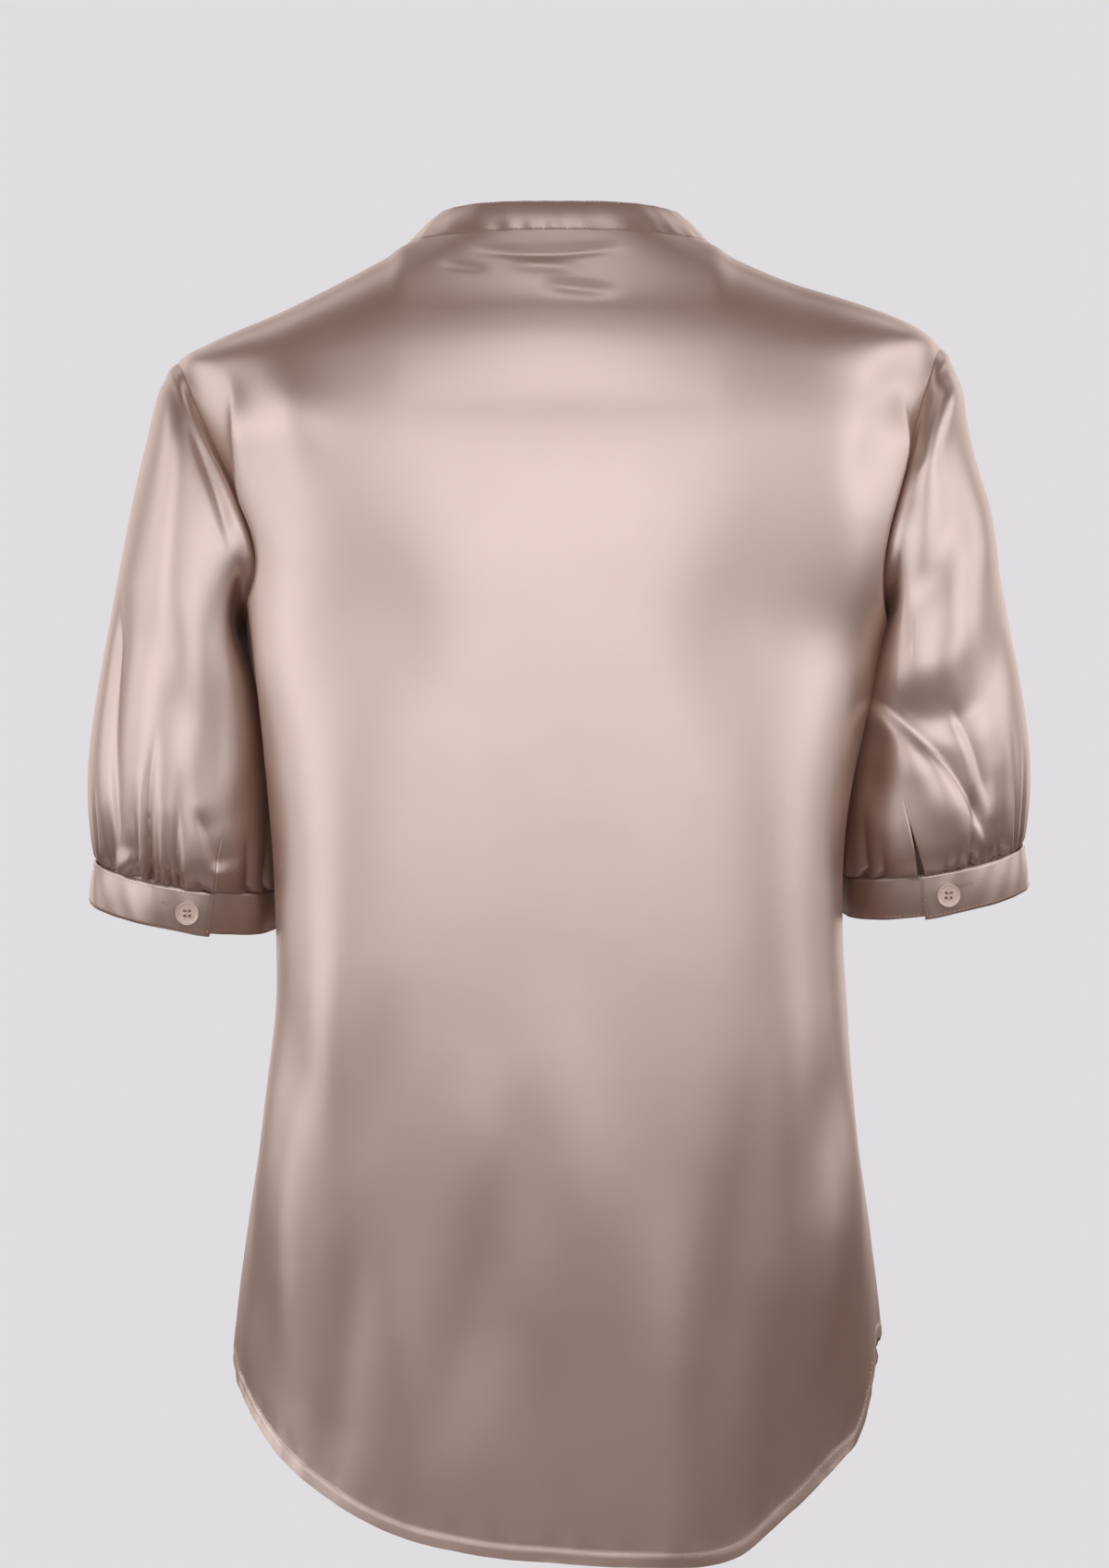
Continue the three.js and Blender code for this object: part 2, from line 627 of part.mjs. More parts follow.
// Wall of a sleeve, whose rows have one more column where the slit is open
function sleeveSolid(side) {
  const { grid, closed, count, firstColumn, edgeAt } = sleeve(side);
  const at = (i, j) => (j === count && closed(i) ? grid[i][0] : grid[i][j]);
  const inner = grid.map((row, i) => row.map((point, j) => {
    if (i === 0) return add(point, times(edgeAt((firstColumn + j) % count).normal, -wall));
    const wrap = closed(i);
    const left = wrap ? grid[i][(j + count - 1) % count] : grid[i][Math.max(0, j - 1)];
    const right = wrap ? grid[i][(j + 1) % count] : grid[i][Math.min(count, j + 1)];
    const up = at(i - 1, j);
    const down = i < grid.length - 1 ? at(i + 1, j) : point;
    return add(point, times(unit(cross(sub(right, left), sub(down, up))), wall));
  }));
  const flip = (rows) => (side.mirror < 0 ? mirrored(rows) : rows);
  return tubeSolid(flip(grid), flip(inner), closed, count);
}

function tubeSolid(outer, inner, closed, count) {
  const positions = [];
  const index = new Map();
  const vertex = (layer, i, j) => {
    const column = closed(i) && j === count ? 0 : j;
    const key = `${layer} ${i} ${column}`;
    if (!index.has(key)) {
      index.set(key, positions.length / 3);
      positions.push(...(layer === 0 ? outer : inner)[i][column]);
    }
    return index.get(key);
  };
  const triangles = [];
  const quad = (a, b, c, d) => triangles.push(a, b, c, a, c, d);
  const last = outer.length - 1;
  for (let i = 0; i < last; i += 1) {
    for (let j = 0; j < count; j += 1) {
      quad(vertex(0, i, j), vertex(0, i + 1, j), vertex(0, i + 1, j + 1), vertex(0, i, j + 1));
      quad(vertex(1, i, j), vertex(1, i, j + 1), vertex(1, i + 1, j + 1), vertex(1, i + 1, j));
    }
    if (closed(i + 1)) continue;
    quad(vertex(0, i, 0), vertex(1, i, 0), vertex(1, i + 1, 0), vertex(0, i + 1, 0));
    quad(vertex(0, i, count), vertex(0, i + 1, count), vertex(1, i + 1, count), vertex(1, i, count));
  }
  for (let j = 0; j < count; j += 1) {
    quad(vertex(0, 0, j), vertex(0, 0, j + 1), vertex(1, 0, j + 1), vertex(1, 0, j));
    quad(vertex(0, last, j), vertex(1, last, j), vertex(1, last, j + 1), vertex(0, last, j + 1));
  }
  return solid(positions, triangles);
}

// Cuff, a strip that goes round the arm and under its own end
function cuffGrid(side) {
  const frame = ringFrame(sleeveRings[sleeveRings.length - 1], side.lift);
  const down = times(unit(cross(frame.long, frame.rear)), -1);
  const cell = 10;
  const cells = 36 + cuffLapTurn / cell;
  const rows = 2;
  const grid = [];
  for (let i = 0; i <= rows; i += 1) {
    const row = [];
    for (let j = 0; j <= cells; j += 1) {
      const turned = j * cell;
      const under = -(cuffWall + gap + 0.15) * soft((turned - 320) / 40);
      const bow = 0.2 + 0.5 * Math.sin((Math.PI * i) / rows);
      const fall = gap + (cuffHeight * i) / rows;
      row.push(add(ringPoint(frame, side.slit - turned, under + bow), times(down, fall)));
    }
    grid.push(row);
  }
  return { points: grid, normals: gridNormals(grid, open, 1), frame, down };
}

// Four-hole button on a point of a surface
function button(point, normal, across) {
  const circle = (x, y, radius, segments, clockwise) => {
    const path = Array.from({ length: segments }, (_, k) => {
      const turn = ((clockwise ? -k : k) / segments) * 2 * Math.PI;
      return new THREE.Vector2(x + radius * Math.cos(turn), y + radius * Math.sin(turn));
    });
    return path;
  };
  const shape = new THREE.Shape(circle(0, 0, buttonDiameter / 2, 18, false));
  for (const [x, y] of [[1, 1], [-1, 1], [-1, -1], [1, -1]]) {
    const half = buttonHoleSpacing / 2;
    shape.holes.push(new THREE.Path(circle(x * half, y * half, buttonHole / 2, 6, true)));
  }
  const geometry = new THREE.ExtrudeGeometry(shape, { depth: buttonThickness, bevelEnabled: false });
  geometry.deleteAttribute("uv");
  const forward = unit(normal);
  const right = unit(sub(across, times(forward, dot(across, forward))));
  const up = cross(forward, right);
  const seat = add(point, times(forward, gap));
  const frame = new THREE.Matrix4().makeBasis(
    new THREE.Vector3(...right),
    new THREE.Vector3(...up),
    new THREE.Vector3(...forward),
  );
  frame.setPosition(...seat);
  geometry.applyMatrix4(frame);
  return geometry;
}

for (const side of sleeveSides) {
  place(`sleeve_${side.side}`, sleeveSolid(side));
  const cuff = cuffGrid(side);
  const flip = (rows) => (side.mirror < 0 ? mirrored(rows) : rows);
  place(`cuff_${side.side}`, wallSolid(flip(cuff.points), flip(inside(cuff, cuffWall))));
  const face = add(ringPoint(cuff.frame, side.button, 0.7), times(cuff.down, gap + cuffHeight / 2));
  const tip = add(ringPoint(cuff.frame, side.button - 5, 0.7), times(cuff.down, gap + cuffHeight / 2));
  const normal = cross(sub(tip, face), cuff.down);
  const outwards = dot(normal, [0, 1, 0]) > 0 ? normal : times(normal, -1);
  const turned = ([x, y, z]) => [x * side.mirror, y, z];
  place(`cuff_button_${side.side}`, button(turned(face), turned(outwards), turned(sub(tip, face))), pearl, 0.3);
}

// Buttons on the centre front, one on the collar and six on the band
function bandPointAt(z) {
  for (let i = 0; i < bodyRows; i += 1) {
    const a = bandOuter[i][1];
    const b = bandOuter[i + 1][1];
    if (a[2] >= z && b[2] <= z) {
      const normal = cross(sub(bandOuter[i][2], bandOuter[i][0]), sub(b, a));
      const outwards = normal[1] < 0 ? normal : times(normal, -1);
      return { point: mixPoints(a, b, (a[2] - z) / (a[2] - b[2])), normal: unit(outwards) };
    }
  }
  return null;
}
frontButtonHeights.forEach((z, k) => {
  const { point, normal } = bandPointAt(z);
  place(`front_button_${k + 1}`, button(point, normal, [1, 0, 0]), pearl, 0.3);
});
const [above, below] = [1, 2].map((row) => collar.points[row].slice(-3));
const collarOut = unit(cross(sub(above[1], below[1]), sub(above[2], above[0])));
const collarNormal = collarOut[1] < 0 ? collarOut : times(collarOut, -1);
const collarFace = add(mixPoints(above[1], below[1], 0.5), times(collarNormal, 0.15));
const collarButton = button(collarFace, collarNormal, [1, 0, 0]);
place("collar_button", collarButton, pearl, 0.3);

export default group;
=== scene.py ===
import math

import bmesh
import bpy
import numpy as np
from mathutils import Matrix, Vector


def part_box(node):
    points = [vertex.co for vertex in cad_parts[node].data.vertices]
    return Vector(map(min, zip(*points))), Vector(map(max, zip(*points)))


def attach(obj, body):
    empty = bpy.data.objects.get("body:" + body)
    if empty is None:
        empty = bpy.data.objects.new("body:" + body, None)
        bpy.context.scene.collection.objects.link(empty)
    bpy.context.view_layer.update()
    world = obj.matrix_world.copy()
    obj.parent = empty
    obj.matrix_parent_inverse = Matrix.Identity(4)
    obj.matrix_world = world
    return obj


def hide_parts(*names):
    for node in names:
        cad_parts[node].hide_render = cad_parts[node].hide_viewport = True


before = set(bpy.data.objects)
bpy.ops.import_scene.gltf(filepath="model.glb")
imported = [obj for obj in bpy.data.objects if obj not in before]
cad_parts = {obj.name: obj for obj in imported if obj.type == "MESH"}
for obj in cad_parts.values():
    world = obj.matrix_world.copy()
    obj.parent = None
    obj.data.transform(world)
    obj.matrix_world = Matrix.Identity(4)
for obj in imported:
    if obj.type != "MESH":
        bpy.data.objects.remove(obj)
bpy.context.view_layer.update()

# Camera behind the blouse, level with the middle of its back
camera = bpy.data.objects.new("camera", bpy.data.cameras.new("camera"))
bpy.context.collection.objects.link(camera)
camera.data.sensor_width = 36
camera.data.lens = 105
camera.location = (0.0024, 2.4, -0.281)
camera.rotation_euler = (math.radians(90), 0, math.radians(180))
bpy.context.scene.camera = camera
bpy.context.scene.view_settings.view_transform = "Standard"


# Soft lights of a plain studio
# The largest one stands behind the camera, and nothing bright is above or below it.
def soft_light(name, place, target, size, power, color=(1, 1, 1)):
    """A rectangular lamp at a place, turned to a target, that the camera doesn't see"""
    data = bpy.data.lights.new(name, "AREA")
    data.shape = "RECTANGLE"
    data.size, data.size_y = size
    data.energy = power
    data.color = color
    lamp = bpy.data.objects.new(name, data)
    bpy.context.collection.objects.link(lamp)
    lamp.location = place
    lamp.rotation_euler = (Vector(target) - Vector(place)).to_track_quat("-Z", "Y").to_euler()
    lamp.visible_camera = False


soft_light("light behind", (0, 3.3, 0.56), (0, 0, 0.56), (3.3, 2.6), 59)
soft_light("light left", (2.75, 1.8, 0.36), (0, 0, 0.36), (2.0, 2.9), 40)
soft_light("light right", (-2.75, 1.8, 0.72), (0, 0, 0.72), (2.0, 2.4), 36)
soft_light("light far left", (3.3, -0.4, 0.7), (0, 0, 0.7), (2.2, 2.6), 31)
soft_light("light far right", (-3.3, -0.4, 0.9), (0, 0, 0.9), (2.2, 2.4), 32)
soft_light("light front left", (1.6, -2.9, 0.7), (0, 0, 0.7), (2.2, 2.8), 36)
soft_light("light front right", (-1.6, -2.9, 0.7), (0, 0, 0.7), (2.2, 2.8), 39)
soft_light("light high", (0, 2.5, 2.75), (0, 0, 0), (0.9, 1.3), 3.5)
soft_light("light above", (0, 0.5, 3.1), (0, 0, 0), (0.8, 0.9), 8)
soft_light("light above left", (1.5, -1.5, 2.4), (0, 0, 0), (1.0, 1.0), 6)
soft_light("light above right", (-1.5, -1.5, 2.4), (0, 0, 0), (1.0, 1.0), 6)


class Shade:
    """A socket in a node tree, with the arithmetic of numbers"""

    def __init__(self, tree, socket=None):
        self.tree = tree
        self.socket = socket

    def node(self, kind, settings=(), values=(), output=0):
        """A new node with its settings first and then its values or links"""
        made = self.tree.nodes.new(kind)
        for name, value in dict(settings).items():
            setattr(made, name, value)
        for name, value in dict(values).items():
            if isinstance(value, Shade):
                self.tree.links.new(value.socket, made.inputs[name])
            else:
                made.inputs[name].default_value = value
        return Shade(self.tree, made.outputs[output]) if made.outputs else None

    def maths(self, operation, *values):
        return self.node("ShaderNodeMath", {"operation": operation}, enumerate(values))

    def __add__(self, other):
        return self.maths("ADD", self, other)

    def __sub__(self, other):
        return self.maths("SUBTRACT", self, other)

    def __rsub__(self, other):
        return self.maths("SUBTRACT", other, self)

    def __mul__(self, other):
        return self.maths("MULTIPLY", self, other)

    def __truediv__(self, other):
        return self.maths("DIVIDE", self, other)

    def __pow__(self, other):
        return self.maths("POWER", self, other)

    __radd__ = __add__
    __rmul__ = __mul__


# Pale surroundings, bright to the camera and dimmer as a light
world = bpy.data.worlds.new("studio")
bpy.context.scene.world = world
world.use_nodes = True
world.node_tree.nodes.clear()
sky = Shade(world.node_tree)
seen = sky.node("ShaderNodeLightPath", output="Is Camera Ray")
dim = sky.node("ShaderNodeBackground", values={"Color": (0.8, 0.64, 0.56, 1), "Strength": 0.1})
pale = sky.node("ShaderNodeBackground", values={"Color": (0.745, 0.72, 0.75, 1), "Strength": 1.0})
backdrop = sky.node("ShaderNodeMixShader", values={0: seen, 1: dim, 2: pale})
sky.node("ShaderNodeOutputWorld", values={"Surface": backdrop})

# Floor, a pale disc below the blouse that fades into the surroundings
bpy.ops.mesh.primitive_circle_add(vertices=96, radius=4, fill_type="NGON", location=(0, 0, -1.3))
floor = bpy.context.object
floor.name = "floor"
bpy.ops.object.transform_apply()
floor_material = bpy.data.materials.new("floor")
floor_material.use_nodes = True
floor_material.node_tree.nodes.clear()
paint = Shade(floor_material.node_tree)
spot = paint.node("ShaderNodeTexCoord", output="Object")
from_middle = paint.node("ShaderNodeVectorMath", {"operation": "LENGTH"}, {0: spot}, "Value")
fade = (1.9 - from_middle) / 1.1
fade = paint.node("ShaderNodeClamp", values={0: fade})
floor_skin = paint.node(
    "ShaderNodeBsdfPrincipled",
    values={"Base Color": (0.74, 0.72, 0.73, 1), "Roughness": 0.8, "Alpha": fade},
)
paint.node("ShaderNodeOutputMaterial", values={"Surface": floor_skin})
floor.data.materials.append(floor_material)


# Cloth of the blouse: silk satin, glossy and soft, brown in its depth and pale where it shines
def satin_cloth(name, slubs, gloss):
    material = bpy.data.materials.new(name)
    material.use_nodes = True
    material.node_tree.nodes.clear()
    cloth = Shade(material.node_tree)
    place = cloth.node("ShaderNodeTexCoord", output="Object")
    long = cloth.node("ShaderNodeMapping", values={0: place, "Scale": (900, 900, 40)})
    thread = cloth.node("ShaderNodeTexNoise", values={"Vector": long, "Scale": 1.0, "Detail": 2.0})
    grain = cloth.node("ShaderNodeTexNoise", values={"Vector": place, "Scale": 1500.0, "Detail": 1.0})
    cloud = cloth.node("ShaderNodeTexNoise", values={"Vector": place, "Scale": 38.0, "Detail": 2.0})
    shift = 0.88 + 0.06 * thread + 0.16 * grain + 0.02 * cloud
    tone = cloth.node(
        "ShaderNodeVectorMath",
        {"operation": "SCALE"},
        {0: (0.165, 0.072, 0.039), "Scale": shift},
    )
    height = slubs * thread + 0.0002 * cloud
    bump = cloth.node("ShaderNodeBump", values={"Height": height, "Distance": 1.0, "Strength": 0.6})
    skin = cloth.node(
        "ShaderNodeBsdfPrincipled",
        values={
            "Base Color": tone,
            "Roughness": gloss + 0.04 * (cloud - 0.5) + 0.08 * (grain - 0.5),
            "Specular IOR Level": 1.0,
            "IOR": 2.8,
            "Specular Tint": (1, 0.85, 0.8, 1),
            "Anisotropic": 0.1,
            "Sheen Weight": 0.06,
            "Sheen Roughness": 0.4,
            "Normal": bump,
        },
    )
    cloth.node("ShaderNodeOutputMaterial", values={"Surface": skin})
    return material


satin = satin_cloth("satin", 0.00001, 0.42)
satin_bands = satin_cloth("satin bands", 0.00003, 0.4)


# Back of the blouse, one panel cut whole from the neck to the shirt-tail hem.
# It is sewn to the fronts at the shoulders and the sides, and hangs free over the waist.
def soft(k):
    """A smooth step from 0 to 1"""
    c = np.clip(k, 0, 1)
    return c * c * (3 - 2 * c)


def mix(a, b, k):
    return a + (b - a) * k


def unit(v):
    return v / np.maximum(1e-9, np.linalg.norm(v, axis=-1, keepdims=True))


def read(rows, column, value):
    """Smooth reading of one column of a table at values of its first column"""
    rows = np.array(rows, float)
    if rows[0, 0] > rows[-1, 0]:
        rows = rows[::-1]
    key, number = rows[:, 0], rows[:, column]
    last = len(key) - 1
    before = np.maximum(np.arange(last + 1) - 1, 0)
    after = np.minimum(np.arange(last + 1) + 1, last)
    slope = (number[after] - number[before]) / (key[after] - key[before])
    value = np.clip(value, key[0], key[-1])
    i = np.clip(np.searchsorted(key, value, side="right") - 1, 0, last - 1)
    width = key[i + 1] - key[i]
    t = (value - key[i]) / width
    low = (2 * t**3 - 3 * t**2 + 1) * number[i] + (t**3 - 2 * t**2 + t) * width * slope[i]
    return low + (3 * t**2 - 2 * t**3) * number[i + 1] + (t**3 - t**2) * width * slope[i + 1]


# Millimetres: height, half width, depth behind, depth before, how far the sides are drawn in, squareness
body_levels = [
    (-59, 199.5, 87, 72, 0, 2.6),
    (-80, 196, 94, 84, 0, 2.6),
    (-105, 188, 99, 95, 0, 2.6),
    (-132, 177, 102, 106, 0, 2.6),
    (-160, 167, 104, 113, 0, 2.6),
    (-205, 157.5, 105, 119, 0, 2.6),
    (-232, 156.5, 105, 120, 4, 2.9),
    (-262, 151, 105, 120, 7, 3.4),
    (-310, 143, 104.6, 118, 7, 4.1),
    (-350, 141, 104, 116, 5, 4.4),
    (-385, 141, 103, 115, 2, 4.4),
    (-440, 147, 100.8, 114, 0, 4.2),
    (-500, 160, 97.4, 114, 0, 3.6),
    (-566, 169, 92.8, 113, 0, 3.1),
    (-690, 171, 83, 108, 0, 2.8),
]
# Angle from the shoulder tip, distance of the armhole behind and before the side
armhole = [
    (0, 0, 0),
    (15, 14, 13),
    (30, 26, 24),
    (45, 35, 33),
    (60, 41, 39),
    (75, 45, 43),
    (90, 49, 46),
    (105, 52, 48),
    (120, 51.5, 47),
    (135, 45, 41),
    (150, 32.5, 30),
    (165, 17, 16),
    (180, 0, 0),
]
# Turn from the left side seam to the right one, height of the hem
back_hem = [
    (0, -569),
    (15, -580),
    (30, -600),
    (45, -632),
    (60, -658),
    (75, -671),
    (90, -676),
    (105, -678),
    (119, -676),
    (129, -657),
    (141, -632),
    (151, -619),
    (158, -600),
    (166, -576),
    (180, -569),
]
front_hem = [(0, -569), (18, -582), (35, -609), (55, -633), (90, -640)]
squareness = 2.6


def body_point(kind, turn, z):
    """A point of the plain body, at a turn from the left side and a height"""
    turn, z = np.broadcast_arrays(np.asarray(turn, float), np.asarray(z, float))
    c = np.cos(np.radians(turn))
    s = np.sin(np.radians(turn))
    power = read(body_levels, 5, z)
    k = (np.abs(c) ** power + np.abs(s) ** power) ** (-1 / power)
    x = read(body_levels, 1, z) * k * c
    y = read(body_levels, 2 if kind == "back" else 3, z) * k * s
    side = np.minimum(turn, 180 - turn) / 20
    x = x - np.sign(x) * read(body_levels, 4, z) * np.exp(-side * side)
    return np.stack([x, y if kind == "back" else -y, z], -1)


def neck_point(kind, turn):
    c = np.cos(np.radians(turn))
    s = np.sin(np.radians(turn))
    k = (np.abs(c) ** squareness + np.abs(s) ** squareness) ** (-1 / squareness)
    side = c**2
    if kind == "back":
        return np.stack([80 * k * c, 55 * k * s, 3 * (1 - side)], -1)
    return np.stack([80 * k * c, -62 * k * s, -55 * (1 - side**1.4)], -1)


def arm_height(step):
    return -132 + 73 * np.cos(np.radians(15 * step))


def edge_turn(kind, row):
    """Turn at which a row begins: 0 at the seams, more where the armhole cuts in"""
    step = np.clip(row - 6, 0, 12)
    column = 1 if kind == "back" else 2
    depth = read(armhole, column, 15 * step) / read(body_levels, column + 1, arm_height(step))
    depth = np.maximum(0, depth)
    turn = np.degrees(np.arctan2(depth, (1 - depth**squareness) ** (1 / squareness)))
    return np.where((row > 6) & (row < 18), turn, 0)


def spread_turn(edge, turn):
    half = np.minimum(turn, 180 - turn)
    moved = half + edge * (1 - half / 90) ** 2
    return np.where(turn > 90, 180 - moved, moved)


def hang(kind, half, k):
    """Height of a row that hangs from the armhole to the centre"""
    first = edge_turn(kind, 6 + k)
    part = np.clip((half - first) / (90 - first), 0, 1)
    part = np.maximum(0, np.sin(np.radians(90 * part))) ** mix(2, 1, k / 12)
    drop = 41 * (1 - k / 12) if kind == "front" else 0
    return mix(arm_height(k), -59 - 16 * k - drop, part)


def panel_points(kind, row, turn):
    """Points of a panel, on rows 0 to 6 of the shoulder, to 18 of the armhole, to 25 of the hem"""
    row, turn = np.broadcast_arrays(row, turn)
    half = np.where(turn > 90, 180 - turn, turn)
    edge = edge_turn(kind, row)
    across = np.sin(np.radians(90 * np.clip((half - edge) / (90 - edge), 0, 1))) ** 2
    out = 1 if kind == "back" else -1
    # Shoulder, a curve from the neck to the level of the shoulder tip
    level = -59 - (41 * across if kind == "front" else 0)
    neck = neck_point(kind, turn)
    yoke = body_point(kind, turn, level)
    under = unit(body_point(kind, turn, level - 12) - yoke)
    tip = np.stack([np.sign(90 - turn) * math.sqrt(0.5), 0 * turn, 0 * turn - math.sqrt(0.5)], -1)
    reach = np.linalg.norm(yoke - neck, axis=-1)[..., None]
    lift = np.stack([0 * turn, 0.12 * out * across, 0.08 + 0 * turn], -1)
    leave = yoke - neck + lift * reach
    arrive = unit(mix(tip, under, np.sqrt(across)[..., None])) * 0.6 * reach
    t = np.clip(row / 6, 0, 1)[..., None]
    top = (2 * t**3 - 3 * t**2 + 1) * neck + (t**3 - 2 * t**2 + t) * leave
    top = top + (3 * t**2 - 2 * t**3) * yoke + (t**3 - t**2) * arrive
    # Armhole and below
    hem = read(back_hem, 1, turn) if kind == "back" else read(front_hem, 1, half)
    arm = hang(kind, half, np.clip(row - 6, 0, 12))
    low = mix(hang(kind, half, np.full(row.shape, 12.0)), hem, np.clip((row - 18) / 7, 0, 1))
    body = body_point(kind, turn, np.where(row <= 18, arm, low))
    return np.where((row < 6)[..., None], top, body)


# Lowering or lifting of the worn shoulders: distance from the middle, left side, right side
shoulder_droop = [
    (80, 0, 0),
    (92, -3.4, -3),
    (120, -8, -4.5),
    (148, -10, -1.5),
    (170, -8, 2),
    (184, -5.5, 5),
    (200, 0, 8),
    (250, 0, 8),
]


def worn(points):
    """The points with the shoulders as they hang on the wearer, the left one lower"""
    x, z = points[..., 0], points[..., 2]
    left = read(shoulder_droop, 1, abs(x))
    right = read(shoulder_droop, 2, abs(x))
    drop = np.where(x > 0, left, right) * soft((z + 125) / 70) * soft((abs(x) - 78) / 10)
    # The free fold behind the right armhole hangs out over the sleeve
    over = -13 * np.exp(-(((z + 172) / 60) ** 2)) * soft((points[..., 1] - 5) / 30) * soft((-x - 100) / 40)
    # On the left the panel covers the gap below the underarm
    over = over + 7 * np.exp(-(((z + 206) / 34) ** 2)) * soft((points[..., 1] - 5) / 30) * soft((x - 100) / 40)
    return points + np.stack([over, 0 * x, drop], -1)


def grid_normals(points, outside):
    """Unit normals of a grid, turned by a sign"""
    return unit(np.cross(np.gradient(points, axis=0), np.gradient(points, axis=1))) * outside


def distance_along(points, axis):
    """Length along the rows or the columns of a grid, from its first edge"""
    step = np.linalg.norm(np.diff(points, axis=axis), axis=-1)
    shape = list(points.shape[:2])
    shape[axis] = 1
    return np.concatenate([np.zeros(shape), np.cumsum(step, axis=axis)], axis=axis)


def relaxed(points, times, edge=5):
    """The grid with its inner points evened out"""
    rows, columns = points.shape[:2]
    i = np.arange(rows)[:, None]
    j = np.arange(columns)[None, :]
    free = soft(np.minimum(i, rows - 1 - i) / edge) * soft(np.minimum(j, columns - 1 - j) / edge)
    for _ in range(times):
        moved = points.copy()
        moved[1:-1] += 0.25 * (points[:-2] - 2 * points[1:-1] + points[2:])
        moved[:, 1:-1] += 0.25 * (points[:, :-2] - 2 * points[:, 1:-1] + points[:, 2:])
        points = points + (moved - points) * free[..., None]
    return points


def crease_height(points, creases, side):
    """Height of listed folds at the points, on the half that faces behind (1) or before (-1)

    A crease is its path in x and z, its half width towards +X (or below) and towards -X
    (or above), its height, and the parts of its length in which it rises and fades.
    Where one side is at least three times as wide as the other, its crest is sharp.
    """
    x, y, z = points[..., 0], points[..., 1], points[..., 2]
    total = np.zeros(x.shape)
    for path, plus, minus, height, rise, fade_out in creases:
        table = [(k, *point) for k, point in enumerate(path)]
        at = np.linspace(0, len(path) - 1, 8 * len(path))
        line = np.stack([read(table, 1, at), read(table, 2, at)], -1)
        step = np.hypot(*np.diff(line, axis=0).T)
        start = np.concatenate([[0], np.cumsum(step)])
        near = np.full(x.shape, 1e9)
        along = np.zeros(x.shape)
        beside = np.zeros(x.shape)
        for a, b, size, before in zip(line[:-1], line[1:], step, start):
            way = (b - a) / size
            t = np.clip((x - a[0]) * way[0] + (z - a[1]) * way[1], 0, size)
            dx = x - a[0] - way[0] * t
            dz = z - a[1] - way[1] * t
            off = np.hypot(dx, dz)
            closer = off < near
            near = np.where(closer, off, near)
            along = np.where(closer, before + t, along)
            beside = np.where(closer, way[0] * dz - way[1] * dx, beside)
        k = along / start[-1]
        width = np.where(beside > 0, plus, minus)
        sharp = 1.25 if max(plus, minus) >= 3 * min(plus, minus) else 2
        total += height * np.exp(-((near / width) ** sharp)) * soft(k / rise) * soft((1 - k) / fade_out)
    return total * soft((side * y + 4) / 12)


def grid_object(name, points, outside, closed=False):
    """A mesh from a grid of points in millimetres, whose faces look outside"""
    rows, columns = points.shape[:2]
    index = np.arange(rows * columns).reshape(rows, columns)
    if closed:
        index = np.concatenate([index, index[:, :1]], axis=1)
    corners = [index[:-1, :-1], index[1:, :-1], index[1:, 1:], index[:-1, 1:]]
    if outside < 0:
        corners.reverse()
    faces = np.stack(corners, -1).reshape(-1, 4)
    mesh = bpy.data.meshes.new(name)
    mesh.from_pydata((points.reshape(-1, 3) / 1000).tolist(), [], faces.tolist())
    piece = bpy.data.objects.new(name, mesh)
    bpy.context.collection.objects.link(piece)
    return piece


def select_only(piece):
    bpy.ops.object.select_all(action="DESELECT")
    piece.select_set(True)
    bpy.context.view_layer.objects.active = piece


def finish_piece(piece, material, node=None):
    """Smooth shading, material and the piece's place in the shared frame"""
    select_only(piece)
    bpy.ops.object.shade_smooth_by_angle(angle=math.radians(50))
    piece.data.materials.append(material)
    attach(piece, "root")
    if node:
        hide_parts(node)


def thicken(piece, thickness):
    """Gives a sheet its thickness in millimetres, on its inner side"""
    select_only(piece)
    bpy.ops.object.mode_set(mode="EDIT")
    bpy.ops.mesh.select_all(action="SELECT")
    bpy.ops.mesh.remove_doubles(threshold=0.00001)
    bpy.ops.object.mode_set(mode="OBJECT")
    wall = piece.modifiers.new("thickness", "SOLIDIFY")
    wall.thickness = thickness / 1000
    wall.offset = -1
    bpy.ops.object.modifier_apply(modifier=wall.name)


def seam_dip(across, depth, width):
    """The cloth turns in at a seam, by the distance across from it"""
    return -depth * np.exp(-((across / width) ** 2))


